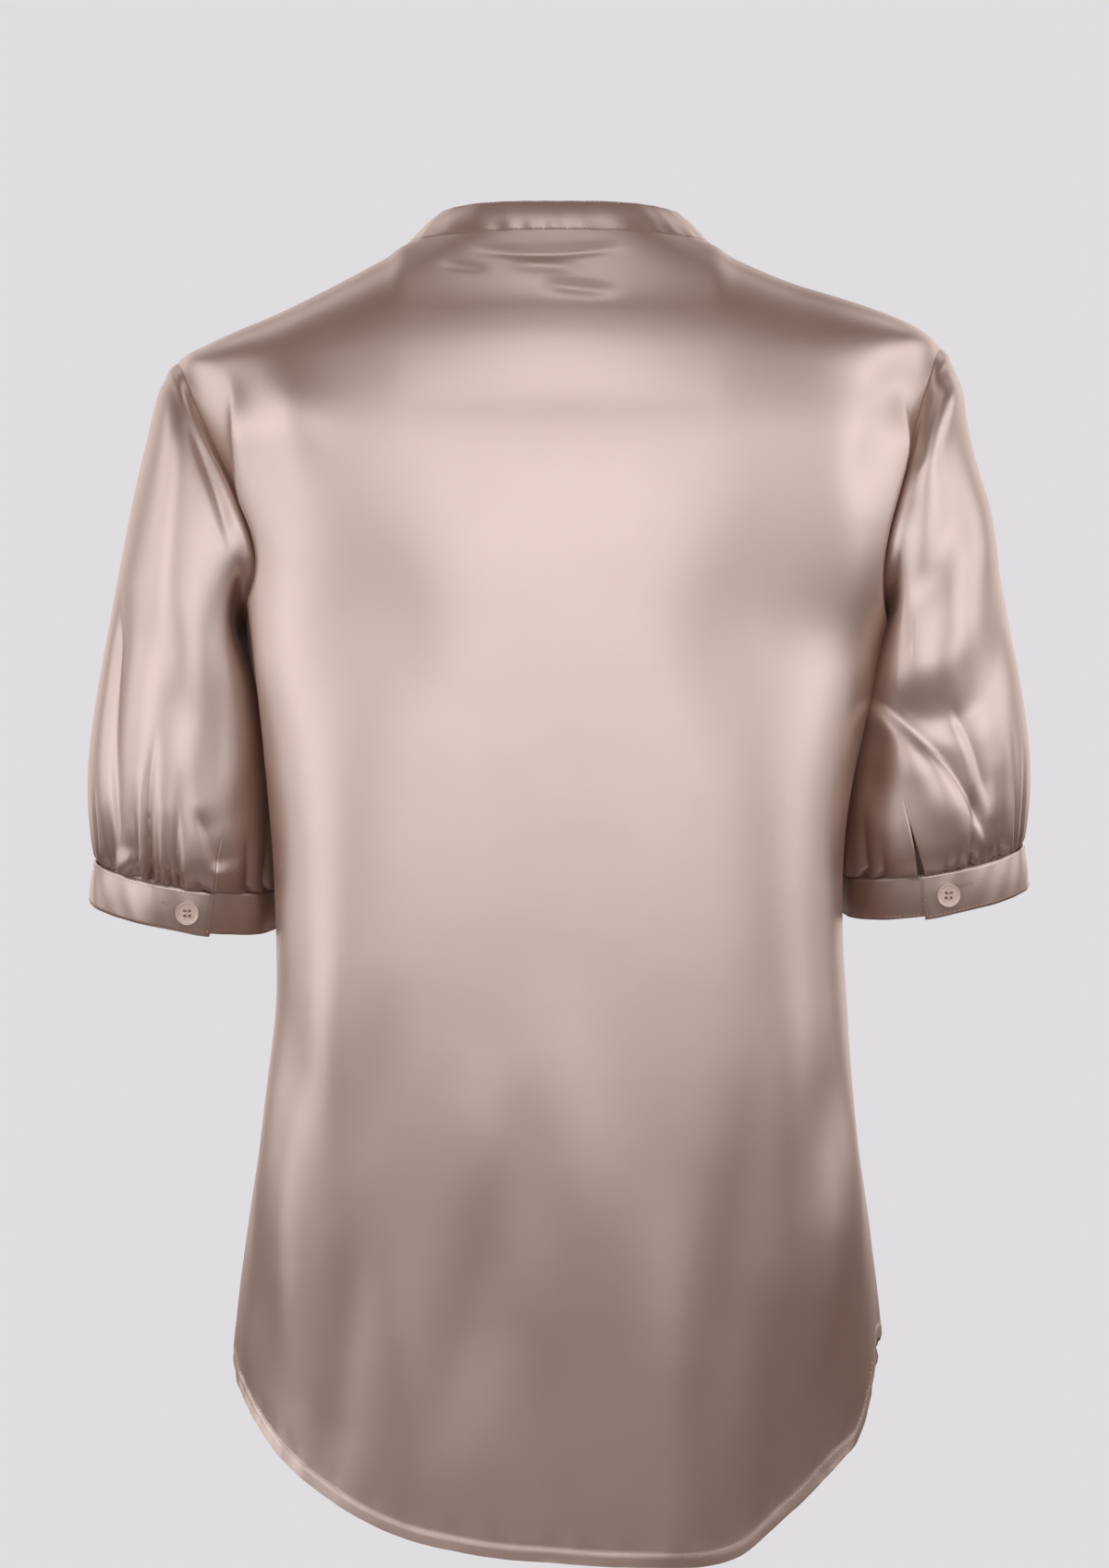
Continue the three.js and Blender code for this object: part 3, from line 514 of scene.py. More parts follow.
panel_rows = np.concatenate([
    np.linspace(0, 0.3, 6)[:-1],
    np.linspace(0.3, 6, 42)[:-1],
    np.linspace(6, 18, 58)[:-1],
    np.linspace(18, 24.55, 88)[:-1],
    np.linspace(24.55, 25, 22),
])
edge_steps = [0, 0.003, 0.007, 0.012, 0.018]
across_steps = np.concatenate([edge_steps, np.linspace(0.026, 0.974, 138), 1 - np.array(edge_steps[::-1])])
back_creases = [
    # Draped fold beside each armhole, with its hollow
    (
        [(170, -66), (164, -93), (160, -125), (156, -165), (150, -211), (144, -261), (139, -321), (137, -380),
         (143, -440), (153, -500), (160, -560)],
        5, 28, 8, 0.08, 0.3,
    ),
    ([(176, -50), (160, -82), (150, -116), (132, -166)], 12, 12, -2.2, 0.4, 0.5),
    ([(150, -50), (136, -84), (118, -122)], 13, 13, 1.6, 0.5, 0.5),
    (
        [(-177, -72), (-175, -100), (-171, -128), (-167, -166), (-161, -220), (-151, -271), (-144, -331), (-140, -390),
         (-145, -450), (-152, -500), (-158, -560)],
        28, 5, 8, 0.08, 0.3,
    ),
    ([(-180, -50), (-170, -80), (-162, -106), (-150, -146)], 11, 11, -2.6, 0.35, 0.45),
    # Fullness and short wrinkles under the collar
    ([(0, -4), (0, -42), (0, -92)], 84, 84, 6, 0.45, 0.6),
    ([(52, -7), (8, -10), (-38, -6)], 3, 3, -1.0, 0.3, 0.3),
    ([(30, -17), (-14, -19)], 3.5, 3.5, 0.9, 0.4, 0.4),
    ([(14, -28), (-34, -33)], 4.5, 4, -1.3, 0.4, 0.4),
    ([(64, -15), (34, -20)], 3, 3, -0.8, 0.4, 0.4),
    # Soft hollows over the back and the waist
    ([(104, -130), (88, -190), (70, -260)], 20, 20, -1.4, 0.5, 0.5),
    ([(-96, -130), (-88, -200), (-84, -290)], 22, 20, -1.0, 0.5, 0.5),
    ([(140, -360), (132, -410), (126, -470)], 11, 11, -1.3, 0.5, 0.5),
    ([(108, -330), (116, -395), (128, -470)], 14, 14, 1.3, 0.5, 0.5),
    ([(84, -370), (96, -440), (106, -520)], 14, 14, -1.4, 0.5, 0.5),
    ([(-128, -350), (-116, -430), (-110, -530)], 14, 14, 1.2, 0.5, 0.5),
    ([(-142, -390), (-132, -450), (-126, -530)], 11, 11, -1.2, 0.5, 0.5),
    # Long soft folds of the shirt tail, whose right corner turns under
    ([(-150, -500), (-140, -620), (-130, -760)], 50, 50, -16, 0.7, 0.01),
    ([(44, -400), (34, -480), (28, -570)], 17, 17, 1.4, 0.5, 0.5),
    ([(14, -420), (36, -520), (60, -640)], 16, 20, -2.3, 0.5, 0.4),
    ([(6, -360), (-12, -470), (-36, -600)], 24, 22, 2.2, 0.5, 0.5),
    ([(-112, -390), (-94, -500), (-76, -650)], 18, 20, -2.8, 0.5, 0.4),
    ([(-56, -480), (-60, -580), (-62, -690)], 17, 16, 2.4, 0.5, 0.1),
    ([(-106, -520), (-112, -600), (-114, -680)], 12, 14, -2.0, 0.5, 0.1),
    ([(84, -490), (78, -580), (72, -690)], 16, 17, 1.9, 0.5, 0.1),
    ([(100, -470), (108, -560), (116, -660)], 12, 12, -1.9, 0.5, 0.3),
    ([(138, -420), (140, -500), (136, -600)], 11, 11, 2.2, 0.5, 0.4),
    ([(-142, -430), (-140, -510), (-134, -600)], 11, 11, 2.3, 0.5, 0.4),
    ([(12, -520), (8, -600), (2, -690)], 16, 16, -1.5, 0.5, 0.1),
]


def hem_relief(up, along):
    """A narrow turned hem, thicker than the cloth and a little puckered by its stitching"""
    band = 0.4 * soft((8.2 - up) / 1.6) - 0.25 * np.exp(-(((up - 7) / 0.9) ** 2))
    ripple = np.sin(along / 2.1 + 1.3 * np.sin(along / 11)) + 0.6 * np.sin(along / 3.7 + 2)
    return band + 0.28 * ripple * np.exp(-((up - 5) / 9) ** 2)


turns = spread_turn(edge_turn("back", panel_rows[:, None]), 180 * across_steps[None, :])
back_grid = worn(relaxed(panel_points("back", panel_rows[:, None], turns), 36))
across_back = distance_along(back_grid, 1)
from_side = np.minimum(across_back, across_back[:, -1:] - across_back)
from_hem = distance_along(back_grid, 0)
from_hem = from_hem[-1:] - from_hem
back_push = crease_height(back_grid, back_creases, 1) * soft(from_side / 14)
back_push += seam_dip(from_side, 1.1, 2.2)
back_push += hem_relief(from_hem, across_back[-1:])
back_grid = back_grid + grid_normals(back_grid, 1)[:] * back_push[..., None]
back_normals = grid_normals(back_grid, 1)
back = grid_object("back_cloth", back_grid, 1)
thicken(back, 0.6)
finish_piece(back, satin, "back")


# Two fronts that lap at the centre, hidden in the picture and finished plainly.
# The right one lies over the left one, and both hang from the shoulder seams.
def front_grid(inward):
    """Points and edge distances of the left front, from its side seam over the centre"""
    rows = panel_rows[:, None]
    edge = edge_turn("front", rows)
    half = np.abs(panel_points("front", rows, edge + 0.0)[..., 0])
    centre = panel_points("front", rows, 90 + 0 * edge)[..., 2]
    width = np.where(rows < 6, half, read(body_levels, 1, centre))
    lap = 90 - np.degrees(np.arcsin(12.5 / width))
    turn = spread_turn(edge, lap * front_steps[None, :])
    turn[:, -1:] = lap
    edge_x = np.linspace(12.5, -12.5, 13)[1:]
    lap_turn = 90 - np.degrees(np.arcsin(edge_x[None, :] / width))
    grid = panel_points("front", rows, np.concatenate([turn, lap_turn], 1))
    grid[:, len(front_steps) - 1, 0] = 12.5
    grid[:, len(front_steps):, 0] = edge_x
    grid = relaxed(grid, 8)
    across = distance_along(grid, 1)
    up = distance_along(grid, 0)
    return grid, across, up[-1:] - up, soft((grid[..., 0] - 2) / -14) * inward


front_steps = np.concatenate([np.array(edge_steps) * 2, np.linspace(0.05, 1, 74)])
left_front_creases = [
    ([(167, -96), (161, -130), (154, -190), (147, -260), (144, -330)], 5, 18, 5.5, 0.15, 0.3),
    ([(176, -92), (171, -124), (165, -152)], 6, 5, -4, 0.3, 0.4),
    ([(132, -112), (120, -170), (112, -250)], 14, 14, -2.6, 0.4, 0.4),
    ([(104, -120), (92, -200)], 12, 12, 1.8, 0.5, 0.5),
    ([(126, -330), (118, -400), (104, -470)], 9, 10, 3.4, 0.4, 0.4),
    ([(100, -350), (92, -420), (84, -500)], 10, 12, -3.2, 0.4, 0.4),
    ([(134, -390), (132, -470), (126, -560)], 8, 9, -3, 0.4, 0.3),
    ([(64, -400), (60, -500), (52, -610)], 14, 14, 3, 0.4, 0.2),
    ([(34, -470), (38, -560), (32, -630)], 10, 12, -2.6, 0.4, 0.1),
]
right_front_creases = [
    ([(-166, -92), (-160, -136), (-153, -200), (-146, -275), (-144, -345)], 18, 5, 5.5, 0.15, 0.3),
    ([(-176, -96), (-170, -130), (-164, -158)], 5, 6, -4, 0.3, 0.4),
    ([(-126, -120), (-118, -190), (-106, -270)], 14, 14, -2.4, 0.4, 0.4),
    ([(-92, -110), (-84, -180)], 12, 12, 1.6, 0.5, 0.5),
    ([(-130, -350), (-116, -420), (-108, -480)], 10, 9, 3.2, 0.4, 0.4),
    ([(-98, -370), (-94, -440), (-80, -520)], 12, 10, -3.4, 0.4, 0.4),
    ([(-136, -420), (-130, -500), (-128, -570)], 9, 8, -2.8, 0.4, 0.3),
    ([(-58, -430), (-62, -530), (-54, -620)], 14, 14, 2.8, 0.4, 0.2),
]
front_parts = {}
for side, mirror, inward, creases in (
    ("left", 1, 1.6, left_front_creases),
    ("right", -1, 0, right_front_creases),
):
    grid, across, up, lowered = front_grid(inward)
    grid = worn(grid * (mirror, 1, 1))
    normals = grid_normals(grid, -mirror)
    normals *= np.sign(np.sum(normals * (0, -1, 0.1)))
    push = crease_height(grid, creases, -1) * soft(across / 14) * soft((abs(grid[..., 0]) - 16) / 14)
    push *= 1 - 0.6 * soft((-grid[..., 2] - 290) / 90)
    push += seam_dip(across, 1.1, 2.2) + hem_relief(up, across[-1:] + 40 * mirror) - lowered
    grid = grid + normals * push[..., None]
    sewn = (panel_rows <= 6) | (panel_rows >= 18)
    grid[sewn, 0] = back_grid[sewn, 0 if mirror > 0 else -1]
    front_parts[side] = (grid, normals)
    allowance = grid[:, :1] + unit(grid[:, :1] - grid[:, 2:3]) * 2 - normals[:, :1] * 1.2
    front = grid_object("front_" + side + "_cloth", np.concatenate([allowance, grid], 1), -mirror)
    thicken(front, 0.6)
    finish_piece(front, satin, "front_" + side)


# Buttoned band, a doubled strip sewn down both its long edges on the right front
right_grid, right_normals = front_parts["right"]
band_columns = slice(len(front_steps) - 1, None)
band_along = distance_along(right_grid, 0)[:, band_columns]
band_grid = right_grid[:, band_columns] + right_normals[:, band_columns] * (
    1.25 + 0.12 * np.sin(band_along / 6.1 + 2 * np.sin(band_along / 37))
)[..., None]
band_grid[:, 0] -= right_normals[:, band_columns][:, 0] * 0.35
band_grid[:, -1] -= right_normals[:, band_columns][:, -1] * 0.35
band = grid_object("front_band_cloth", band_grid, 1)
thicken(band, 0.9)
finish_piece(band, satin, "front_band")


# Stand collar, a doubled strip that leans in, sewn to the neck edges and stitched all round
def neck_seam():
    """Points, normals and next points inward of the neck edge, from left front round to right front"""
    runs = []
    for grid, normals, turned in (
        (front_parts["left"][0], front_parts["left"][1], -1),
        (back_grid, back_normals, 1),
        (right_grid, right_normals, 1),
    ):
        run = np.stack([grid[0], normals[0], grid[3]], 1)[::turned]
        runs.append(run if turned < 0 else run[1:])
    return np.concatenate(runs)


seam = neck_seam()
seam_length = np.concatenate([[0], np.cumsum(np.linalg.norm(np.diff(seam[:, 0], axis=0), axis=-1))])
even = np.linspace(0, seam_length[-1], 300)
edge_point, edge_normal, edge_next = [
    np.stack([np.interp(even, seam_length, seam[:, k, axis]) for axis in range(3)], -1) for k in range(3)
]
for _ in range(6):
    edge_point[1:-1] = (edge_point[:-2] + 2 * edge_point[1:-1] + edge_point[2:]) / 4
    edge_normal[1:-1] = (edge_normal[:-2] + 2 * edge_normal[1:-1] + edge_normal[2:]) / 4
seam_way = unit(np.gradient(edge_point, axis=0))
before = np.clip(-edge_point[:, 1] / 62, 0, 1)
lean = np.radians(np.where(edge_point[:, 1] > 0, 46, mix(46, 34, before)))[:, None]
inwards = unit(edge_point * (-1, -1, 0))
rise = np.array([0, 0, 1]) * np.cos(lean) + inwards * np.sin(lean)
square = unit(rise - seam_way * np.sum(rise * seam_way, -1, keepdims=True))
collar_up = np.concatenate([[0, 0.6, 1.3], np.linspace(2.2, 23, 17), [24, 24.6, 25]])
wave = 0.5 * np.sin(even / 19) + 0.4 * np.sin(even / 31 + 1)
collar_grid = []
for up in collar_up[::-1]:
    k = up / 25
    tall = up + wave * k
    bow = 1.2 * np.sin(math.pi * k) - 0.5 * np.exp(-(((up - 25) / 0.9) ** 2)) - 0.3 * np.exp(-((up / 0.9) ** 2))
    ripple = 0.16 * np.sin(even / 2.4 + 2 * np.sin(even / 13) + up / 9) * (np.exp(-((up - 2) / 4) ** 2) + 0.5)
    row = edge_point + square * tall[:, None] + unit(edge_normal) * (bow + ripple)[:, None]
    collar_grid.append(row)
collar_grid = np.array(collar_grid)
collar_normals = grid_normals(collar_grid, 1)
collar_normals *= np.sign(np.sum(collar_normals * edge_normal[None]))
collar = grid_object("collar_cloth", collar_grid, 1)
thicken(collar, 1.2)
finish_piece(collar, satin_bands, "collar")


# Sleeves, set in smooth at the top and gathered into the cuffs, with a short slit behind.
# Ring number, outer and inner line in x and z, depth, middle, drop, hold of the armhole
sleeve_rings = [
    (0, 199.5, -59, 157.5, -205, 50, 0, 0, 1),
    (1, 204, -64, 159.5, -201, 54, 0, 0, 0.9),
    (2, 210, -76, 162, -202.5, 57.5, 0, 0, 0.7),
    (3, 215, -97, 160.5, -215, 59.5, 0, 1, 0.45),
    (4, 222.5, -128, 153.5, -235, 61, 0, 3, 0.2),
    (5, 230, -166, 147.5, -257, 62, 0, 4, 0.05),
    (6, 238, -208, 144, -280, 62.5, -1, 5, 0),
    (7, 245.5, -254, 142.5, -301, 62.5, -1.5, 6, 0),
    (8, 247.5, -282, 142.5, -315, 62.5, -2.5, 7, 0),
    (9, 246.5, -304, 143.5, -327, 61, -4.5, 9, 0),
    (9.6, 245.2, -314.5, 144.6, -332.3, 56, -5.5, 10, 0),
    (10, 244, -321, 145.5, -335.5, 46, -6, 10, 0),
]


def ring_frame(ring, lift):
    """Middle, long way, way to the back and half sizes of the rings"""
    part = [read(sleeve_rings, column, ring) for column in range(1, 9)]
    outer = np.stack([part[0], 0 * ring, part[1] + lift], -1)
    inner = np.stack([part[2], 0 * ring, part[3] + lift], -1)
    middle = (outer + inner) / 2
    middle[..., 1] = part[5]
    drop = np.radians(part[6])
    rear = np.stack([0 * drop, np.cos(drop), -np.sin(drop)], -1)
    half = np.linalg.norm(outer - inner, axis=-1) / 2
    return middle, unit(outer - inner), rear, half, part[4], part[7]


def ring_point(shape, angle, extra=0):
    middle, long, rear, half, depth = shape[:5]
    c = np.cos(np.radians(angle))
    s = np.sin(np.radians(angle))
    return middle + long * ((half + extra) * c)[..., None] + rear * ((depth + extra) * s)[..., None]


def armhole_edge(angle, part, side):
    """Points (0) or normals (1) of the armhole seam at an angle round the arm, 0 above, 90 behind"""
    angle = angle % 360
    row = 6 + np.where(angle <= 180, angle, 360 - angle) / 15
    mirror = 1 if side == "left" else -1
    behind = (back_grid, back_normals)[part][:, 0 if mirror > 0 else -1] * (mirror, 1, 1)
    fore = front_parts[side][part][:, 0] * (mirror, 1, 1)
    edges = [
        np.stack([np.interp(row, panel_rows, edge[:, axis]) for axis in range(3)], -1)
        for edge in (behind, fore)
    ]
    return np.where((angle <= 180)[..., None], edges[0], edges[1])


left_sleeve_creases = [
    ([(197, -66), (199, -110), (202, -176), (204, -230)], 11, 11, 1.6, 0.25, 0.5),
    ([(188, -84), (176, -112), (166, -140), (158, -166)], 7, 6, 1.5, 0.25, 0.3),
    ([(193, -86), (183, -112), (174, -138), (166, -166)], 3, 4, -1.6, 0.3, 0.3),
    ([(228, -172), (230, -213), (232, -255), (230, -290), (228, -329)], 3, 9.5, -4.2, 0.25, 0.1),
    ([(212, -176), (203, -212), (194, -246), (184, -276)], 15, 14, -1.6, 0.4, 0.4),
    ([(174, -158), (172, -200), (174, -250), (177, -312)], 12, 11, -2.4, 0.3, 0.3),
    ([(160, -200), (162, -245), (165, -300)], 9, 9, 1.6, 0.3, 0.3),
    ([(187, -292), (180, -308), (174, -328)], 3, 9, -2, 0.4, 0.2),
]
right_sleeve_creases = [
    ([(-200, -60), (-191, -80), (-181, -102)], 3, 3, -2.4, 0.2, 0.4),
    ([(-207, -66), (-198, -90), (-188, -113), (-178, -137)], 6, 7, 2.8, 0.25, 0.4),
    ([(-170, -107), (-178, -111), (-187, -119)], 2.6, 8, -2, 0.3, 0.4),
    ([(-208, -76), (-206, -122), (-199, -158), (-180, -190), (-164, -206)], 11, 11, -2.8, 0.25, 0.3),
    ([(-222, -110), (-221, -150), (-212, -190)], 11, 11, 1.6, 0.4, 0.4),
    ([(-229, -150), (-229, -204), (-219, -236), (-199, -248), (-180, -243), (-158, -218)], 14, 8, -2.6, 0.35, 0.3),
    ([(-212, -168), (-205, -206), (-182, -222), (-164, -214)], 13, 13, 2, 0.4, 0.4),
    ([(-154, -231), (-178, -253), (-198, -271), (-213, -293), (-224, -318)], 3, 9.5, -3.8, 0.25, 0.25),
    ([(-164, -256), (-188, -278), (-203, -312)], 10, 9, 1.8, 0.4, 0.4),
    ([(-200, -238), (-213, -264), (-225, -300)], 3, 9.5, -2.6, 0.35, 0.35),
    ([(-168, -246), (-161, -268), (-157, -300)], 8, 8, -2.6, 0.3, 0.4),
]
left_sleeve_front = [
    ([(205, -100), (212, -180), (211, -262)], 10, 9, -3.2, 0.3, 0.4),
    ([(188, -112), (180, -170), (178, -250)], 9, 9, 3.4, 0.3, 0.4),
    ([(168, -160), (164, -210), (168, -284)], 7, 8, -4.2, 0.3, 0.3),
    ([(231, -196), (233, -262), (229, -318)], 4, 6, -3.8, 0.3, 0.2),
    ([(196, -230), (200, -306)], 6, 7, -2.6, 0.4, 0.3),
    ([(222, -150), (224, -210)], 8, 8, 2.2, 0.4, 0.4),
]
right_sleeve_front = [
    ([(-203, -92), (-210, -168), (-208, -240)], 9, 10, -3.2, 0.3, 0.4),
    ([(-186, -120), (-182, -190), (-184, -262)], 9, 9, 3.2, 0.3, 0.4),
    ([(-166, -150), (-166, -215), (-170, -280)], 8, 7, -4, 0.3, 0.3),
    ([(-230, -180), (-232, -240), (-226, -306)], 6, 4, -3.6, 0.3, 0.2),
    ([(-200, -214), (-190, -262), (-194, -300)], 7, 6, -2.8, 0.3, 0.3),
]
# Gathers above the cuff: angle round the arm, length, half width in degrees, height, sideways lean
left_gathers = [
    (14, 30, 3.0, -1.2, 0),
    (27, 34, 2.4, -1.5, 1),
    (31, 26, 2.4, 1.0, 1),
    (36, 26, 2.2, -1.4, 0),
    (42, 30, 2.4, -1.6, 1),
    (50, 24, 3.4, 1.2, 0),
    (58, 22, 2.2, -1.2, 0),
    (62, 40, 2.6, -2.2, 1),
    (66, 46, 2.6, 1.6, 1),
    (70, 62, 2.4, -2.5, 3),
    (76, 40, 2.4, -1.8, 1),
    (79, 30, 2.0, 1.2, 0),
    (83, 34, 2.2, -1.8, -1),
    (88, 50, 2.4, -2.0, 2),
    (93, 28, 2.4, 1.0, 0),
    (104, 18, 2.6, -1.1, -3),
    (134, 30, 3.4, -1.6, -3),
    (150, 46, 3.4, -2.2, -2),
    (163, 32, 3.0, 1.4, 0),
    (178, 28, 3.4, -1.4, 0),
    (198, 36, 3.0, -1.6, 2),
    (214, 44, 3.4, -2.2, 2),
    (223, 30, 2.8, 1.4, 0),
    (233, 38, 3.0, -1.9, 1),
    (247, 56, 3.2, -2.4, 2),
    (256, 30, 2.8, 1.5, 0),
    (264, 34, 2.6, -1.7, 0),
    (276, 48, 3.0, -2.2, -1),
    (288, 28, 2.6, -1.4, 0),
    (296, 40, 3.0, 1.5, 0),
    (304, 52, 3.0, -2.2, -2),
    (318, 30, 2.8, -1.5, 0),
    (331, 42, 3.0, -1.9, -1),
    (346, 26, 3.0, -1.2, 0),
]
right_gathers = [
    (12, 34, 3.0, -1.3, 1),
    (24, 44, 2.4, -1.6, 2),
    (34, 50, 2.4, -1.7, 3),
    (39, 30, 2.4, 1.1, 1),
    (45, 46, 2.4, -1.8, 2),
    (51, 38, 2.4, -1.6, 1),
    (56, 26, 2.2, -1.2, 0),
    (61, 22, 2.2, -1.3, 0),
    (69, 36, 2.4, -2.4, 0),
    (73, 24, 2.2, 1.3, 0),
    (77, 20, 2.0, -1.2, -1),
    (85, 18, 2.6, -1.0, -1),
    (124, 24, 3.0, -1.4, 0),
    (138, 36, 3.4, -2.0, -2),
    (152, 28, 3.0, 1.2, 0),
    (166, 30, 3.4, -1.5, 0),
    (190, 30, 3.0, -1.4, 0),
    (206, 40, 3.2, -2.0, 2),
    (219, 50, 3.2, -2.3, 2),
    (228, 30, 2.8, 1.4, 0),
    (240, 36, 3.0, -1.8, 1),
    (253, 44, 3.0, -2.1, 0),
    (266, 58, 3.2, -2.4, 1),
    (275, 30, 2.6, 1.5, 0),
    (285, 34, 2.6, -1.6, -1),
    (299, 46, 3.0, -2.2, -2),
    (314, 32, 2.8, -1.6, 0),
    (328, 44, 3.0, -1.9, -1),
    (344, 28, 3.0, -1.3, 0),
]
ring_rows = np.concatenate([
    [0, 0.12, 0.3],
    np.linspace(0.6, 8.6, 84),
    np.linspace(8.7, 9.85, 15),
    [9.91, 9.96, 10],
])
sleeve_parts = {}
for side, mirror, slit, slit_open, slit_from, slit_lean, lift, rear_creases, fore_creases, gathers in (
    ("left", 1, 110, 0.5, 7.7, 8, 0, left_sleeve_creases, left_sleeve_front, left_gathers),
    ("right", -1, 100, 4.6, 7.0, 12, 8, right_sleeve_creases, right_sleeve_front, right_gathers),
):
    from_slit = np.linspace(0, 360, 361)[None, :] + 0 * ring_rows[:, None]
    ring = ring_rows[:, None] + 0 * from_slit
    angle = slit + from_slit + slit_lean * soft((10 - ring) / 4)
    shape = ring_frame(ring, lift * (ring / 10) ** 2)
    first = ring_frame(0 * ring, 0)
    grid = ring_point(shape, angle)
    hold = shape[5][..., None]
    grid = grid + (armhole_edge(angle, 0, side) - ring_point(first, angle)) * hold
    plain = relaxed(grid, 6, 3)
    normals = grid_normals(plain, 1)
    normals *= np.sign(np.sum(normals * ring_point((0 * plain, *shape[1:5]), angle)))
    down = distance_along(plain, 0)
    up = down[-1:] - down
    push = np.zeros(ring.shape)
    for turn, length, width, height, tilt in gathers:
        k = np.clip(up / (1.5 * length), 0, 1)
        off = (angle - turn - tilt * k + 180) % 360 - 180
        shape_off = np.abs(off / (width * (1 + 0.7 * k))) ** (1.3 if height < 0 else 2)
        deep = 2.9 if height < 0 else 2
        start = soft(up / 12) if height > 0 else mix(0.25, 1, soft(up / 8))
        push += deep * height * np.exp(-shape_off) * (1 - k) ** 1.3 * start
    placed = plain * (mirror, 1, 1)
    fold = crease_height(placed, rear_creases, 1) + crease_height(placed, fore_creases, -1)
    push += fold * soft(down / 12) * soft(up / 10)
    push += 0.9 * np.exp(-(((down - 5) / 3.5) ** 2))
    push += seam_dip(up, 1.8, 2.5)
    gape = soft((ring - slit_from) / (10 - slit_from)) * slit_open / 2
    along = unit(np.gradient(plain, axis=1))
    shut = np.exp(-((from_slit / 14) ** 2)) - np.exp(-(((from_slit - 360) / 14) ** 2))
    grid = plain + normals * push[..., None] + along * (gape * shut)[..., None]
    inward = armhole_edge(angle[:1], 1, side)
    allowance = grid[:1] - unit(grid[2:3] - grid[:1]) * 2.5 - inward * 1.2
    grid[0] -= inward[0] * 0.3
    last = [row[-1:] for row in shape]
    tucked = ring_point(last, angle[-1:], -2.2) - unit(np.cross(last[1], last[2])) * 2.5
    whole = np.concatenate([allowance, grid, tucked]) * (mirror, 1, 1)
    grid = whole[:-1]
    sleeve = grid_object("sleeve_" + side + "_cloth", whole, mirror)
    sleeve_parts[side] = (grid[1:], normals * (mirror, 1, 1), ring, up)
    thicken(sleeve, 0.6)
    finish_piece(sleeve, satin, "sleeve_" + side)
    # Narrow strips that bind the cut edges of the slit
    low = grid[1:][ring_rows > slit_from + 0.05]
    low_normals = sleeve_parts[side][1][ring_rows > slit_from + 0.05]
    for edge, columns in (("outer", [0, 0, 1, 2]), ("inner", [360, 360, 359, 358])):
        strip = low[:, columns] + low_normals[:, columns] * 0.5
        away = unit(strip[:, 1] - strip[:, 2])
        strip[:, 0] = strip[:, 1] + away * 0.35 - low_normals[:, columns[0]] * 0.3
        binding = grid_object("slit_binding_" + side + "_" + edge, strip, mirror if edge == "outer" else -mirror)
        thicken(binding, 1.6)
        finish_piece(binding, satin_bands)


# Cuffs, doubled strips that lap behind, the outer end over the inner one
cuff_down = np.array([0, 0.25, 0.5, 0.9, 1.6, 3, 5, 7.5, 10.5, 13.5, 16, 18, 19.4, 20.1, 20.5, 20.75, 21])
cuff_parts = {}
for side, mirror, slit, lift, phase in (("left", 1, 110, 0, 0.4), ("right", -1, 100, 8, 2.1)):
    turned = np.linspace(0, 390, 196)[None, :] + 0 * cuff_down[:, None]
    fall = cuff_down[:, None] + 0 * turned
    shape = ring_frame(10.0 + 0 * turned, lift)
    way = -unit(np.cross(shape[1], shape[2]))
    under = -1.9 * soft((turned - 322) / 34)
    lapped = soft(1 - turned / 30)
    edge = np.minimum(fall, 21 - fall)
    end = turned * 0.86
    rounded = 0.45 * np.exp(-((edge / 0.5) ** 2)) + 0.45 * np.exp(-((end / 0.6) ** 2))
    ripple = 0.28 * np.sin(turned / 6.2 + phase + 1.6 * np.sin(turned / 29 + phase)) + 0.15 * np.sin(turned / 2.9 + fall / 4)
    bow = 0.35 + 0.5 * np.sin(math.pi * fall / 21)
    out = under + bow + ripple * soft(end / 8) - rounded + 0.7 * lapped
    grid = ring_point(shape, slit - turned, out) + way * (fall * (1.06 + 0.06 * lapped) - 1.1)[..., None]
    centre = shape[0] + way * fall[..., None]
    normals = grid_normals(grid, 1)
    normals *= np.sign(np.sum(normals * (grid - centre)))
    grid = grid * (mirror, 1, 1)
    normals = normals * (mirror, 1, 1)
    cuff = grid_object("cuff_" + side + "_cloth", grid, -mirror)
    cuff_parts[side] = (grid, normals)
    thicken(cuff, 1.2)
    finish_piece(cuff, satin_bands, "cuff_" + side)


# Sewing thread, a short raised stitch at a time, along the edges of the bands and the hem
def along_path(path, normals, spots):
    """Points, directions and normals of a path at distances from its start"""
    size = np.concatenate([[0], np.cumsum(np.linalg.norm(np.diff(path, axis=0), axis=-1))])
    point, normal = [
        np.stack([np.interp(spots, size, rows[:, axis]) for axis in range(3)], -1) for rows in (path, normals)
    ]
    ahead = np.stack([np.interp(spots + 0.4, size, path[:, axis]) for axis in range(3)], -1)
    behind = np.stack([np.interp(spots - 0.4, size, path[:, axis]) for axis in range(3)], -1)
    way = unit(ahead - behind)
    return point, way, unit(normal - way * np.sum(normal * way, -1, keepdims=True)), size[-1]


thread_material = satin_cloth("thread", 0.00001, 0.5)


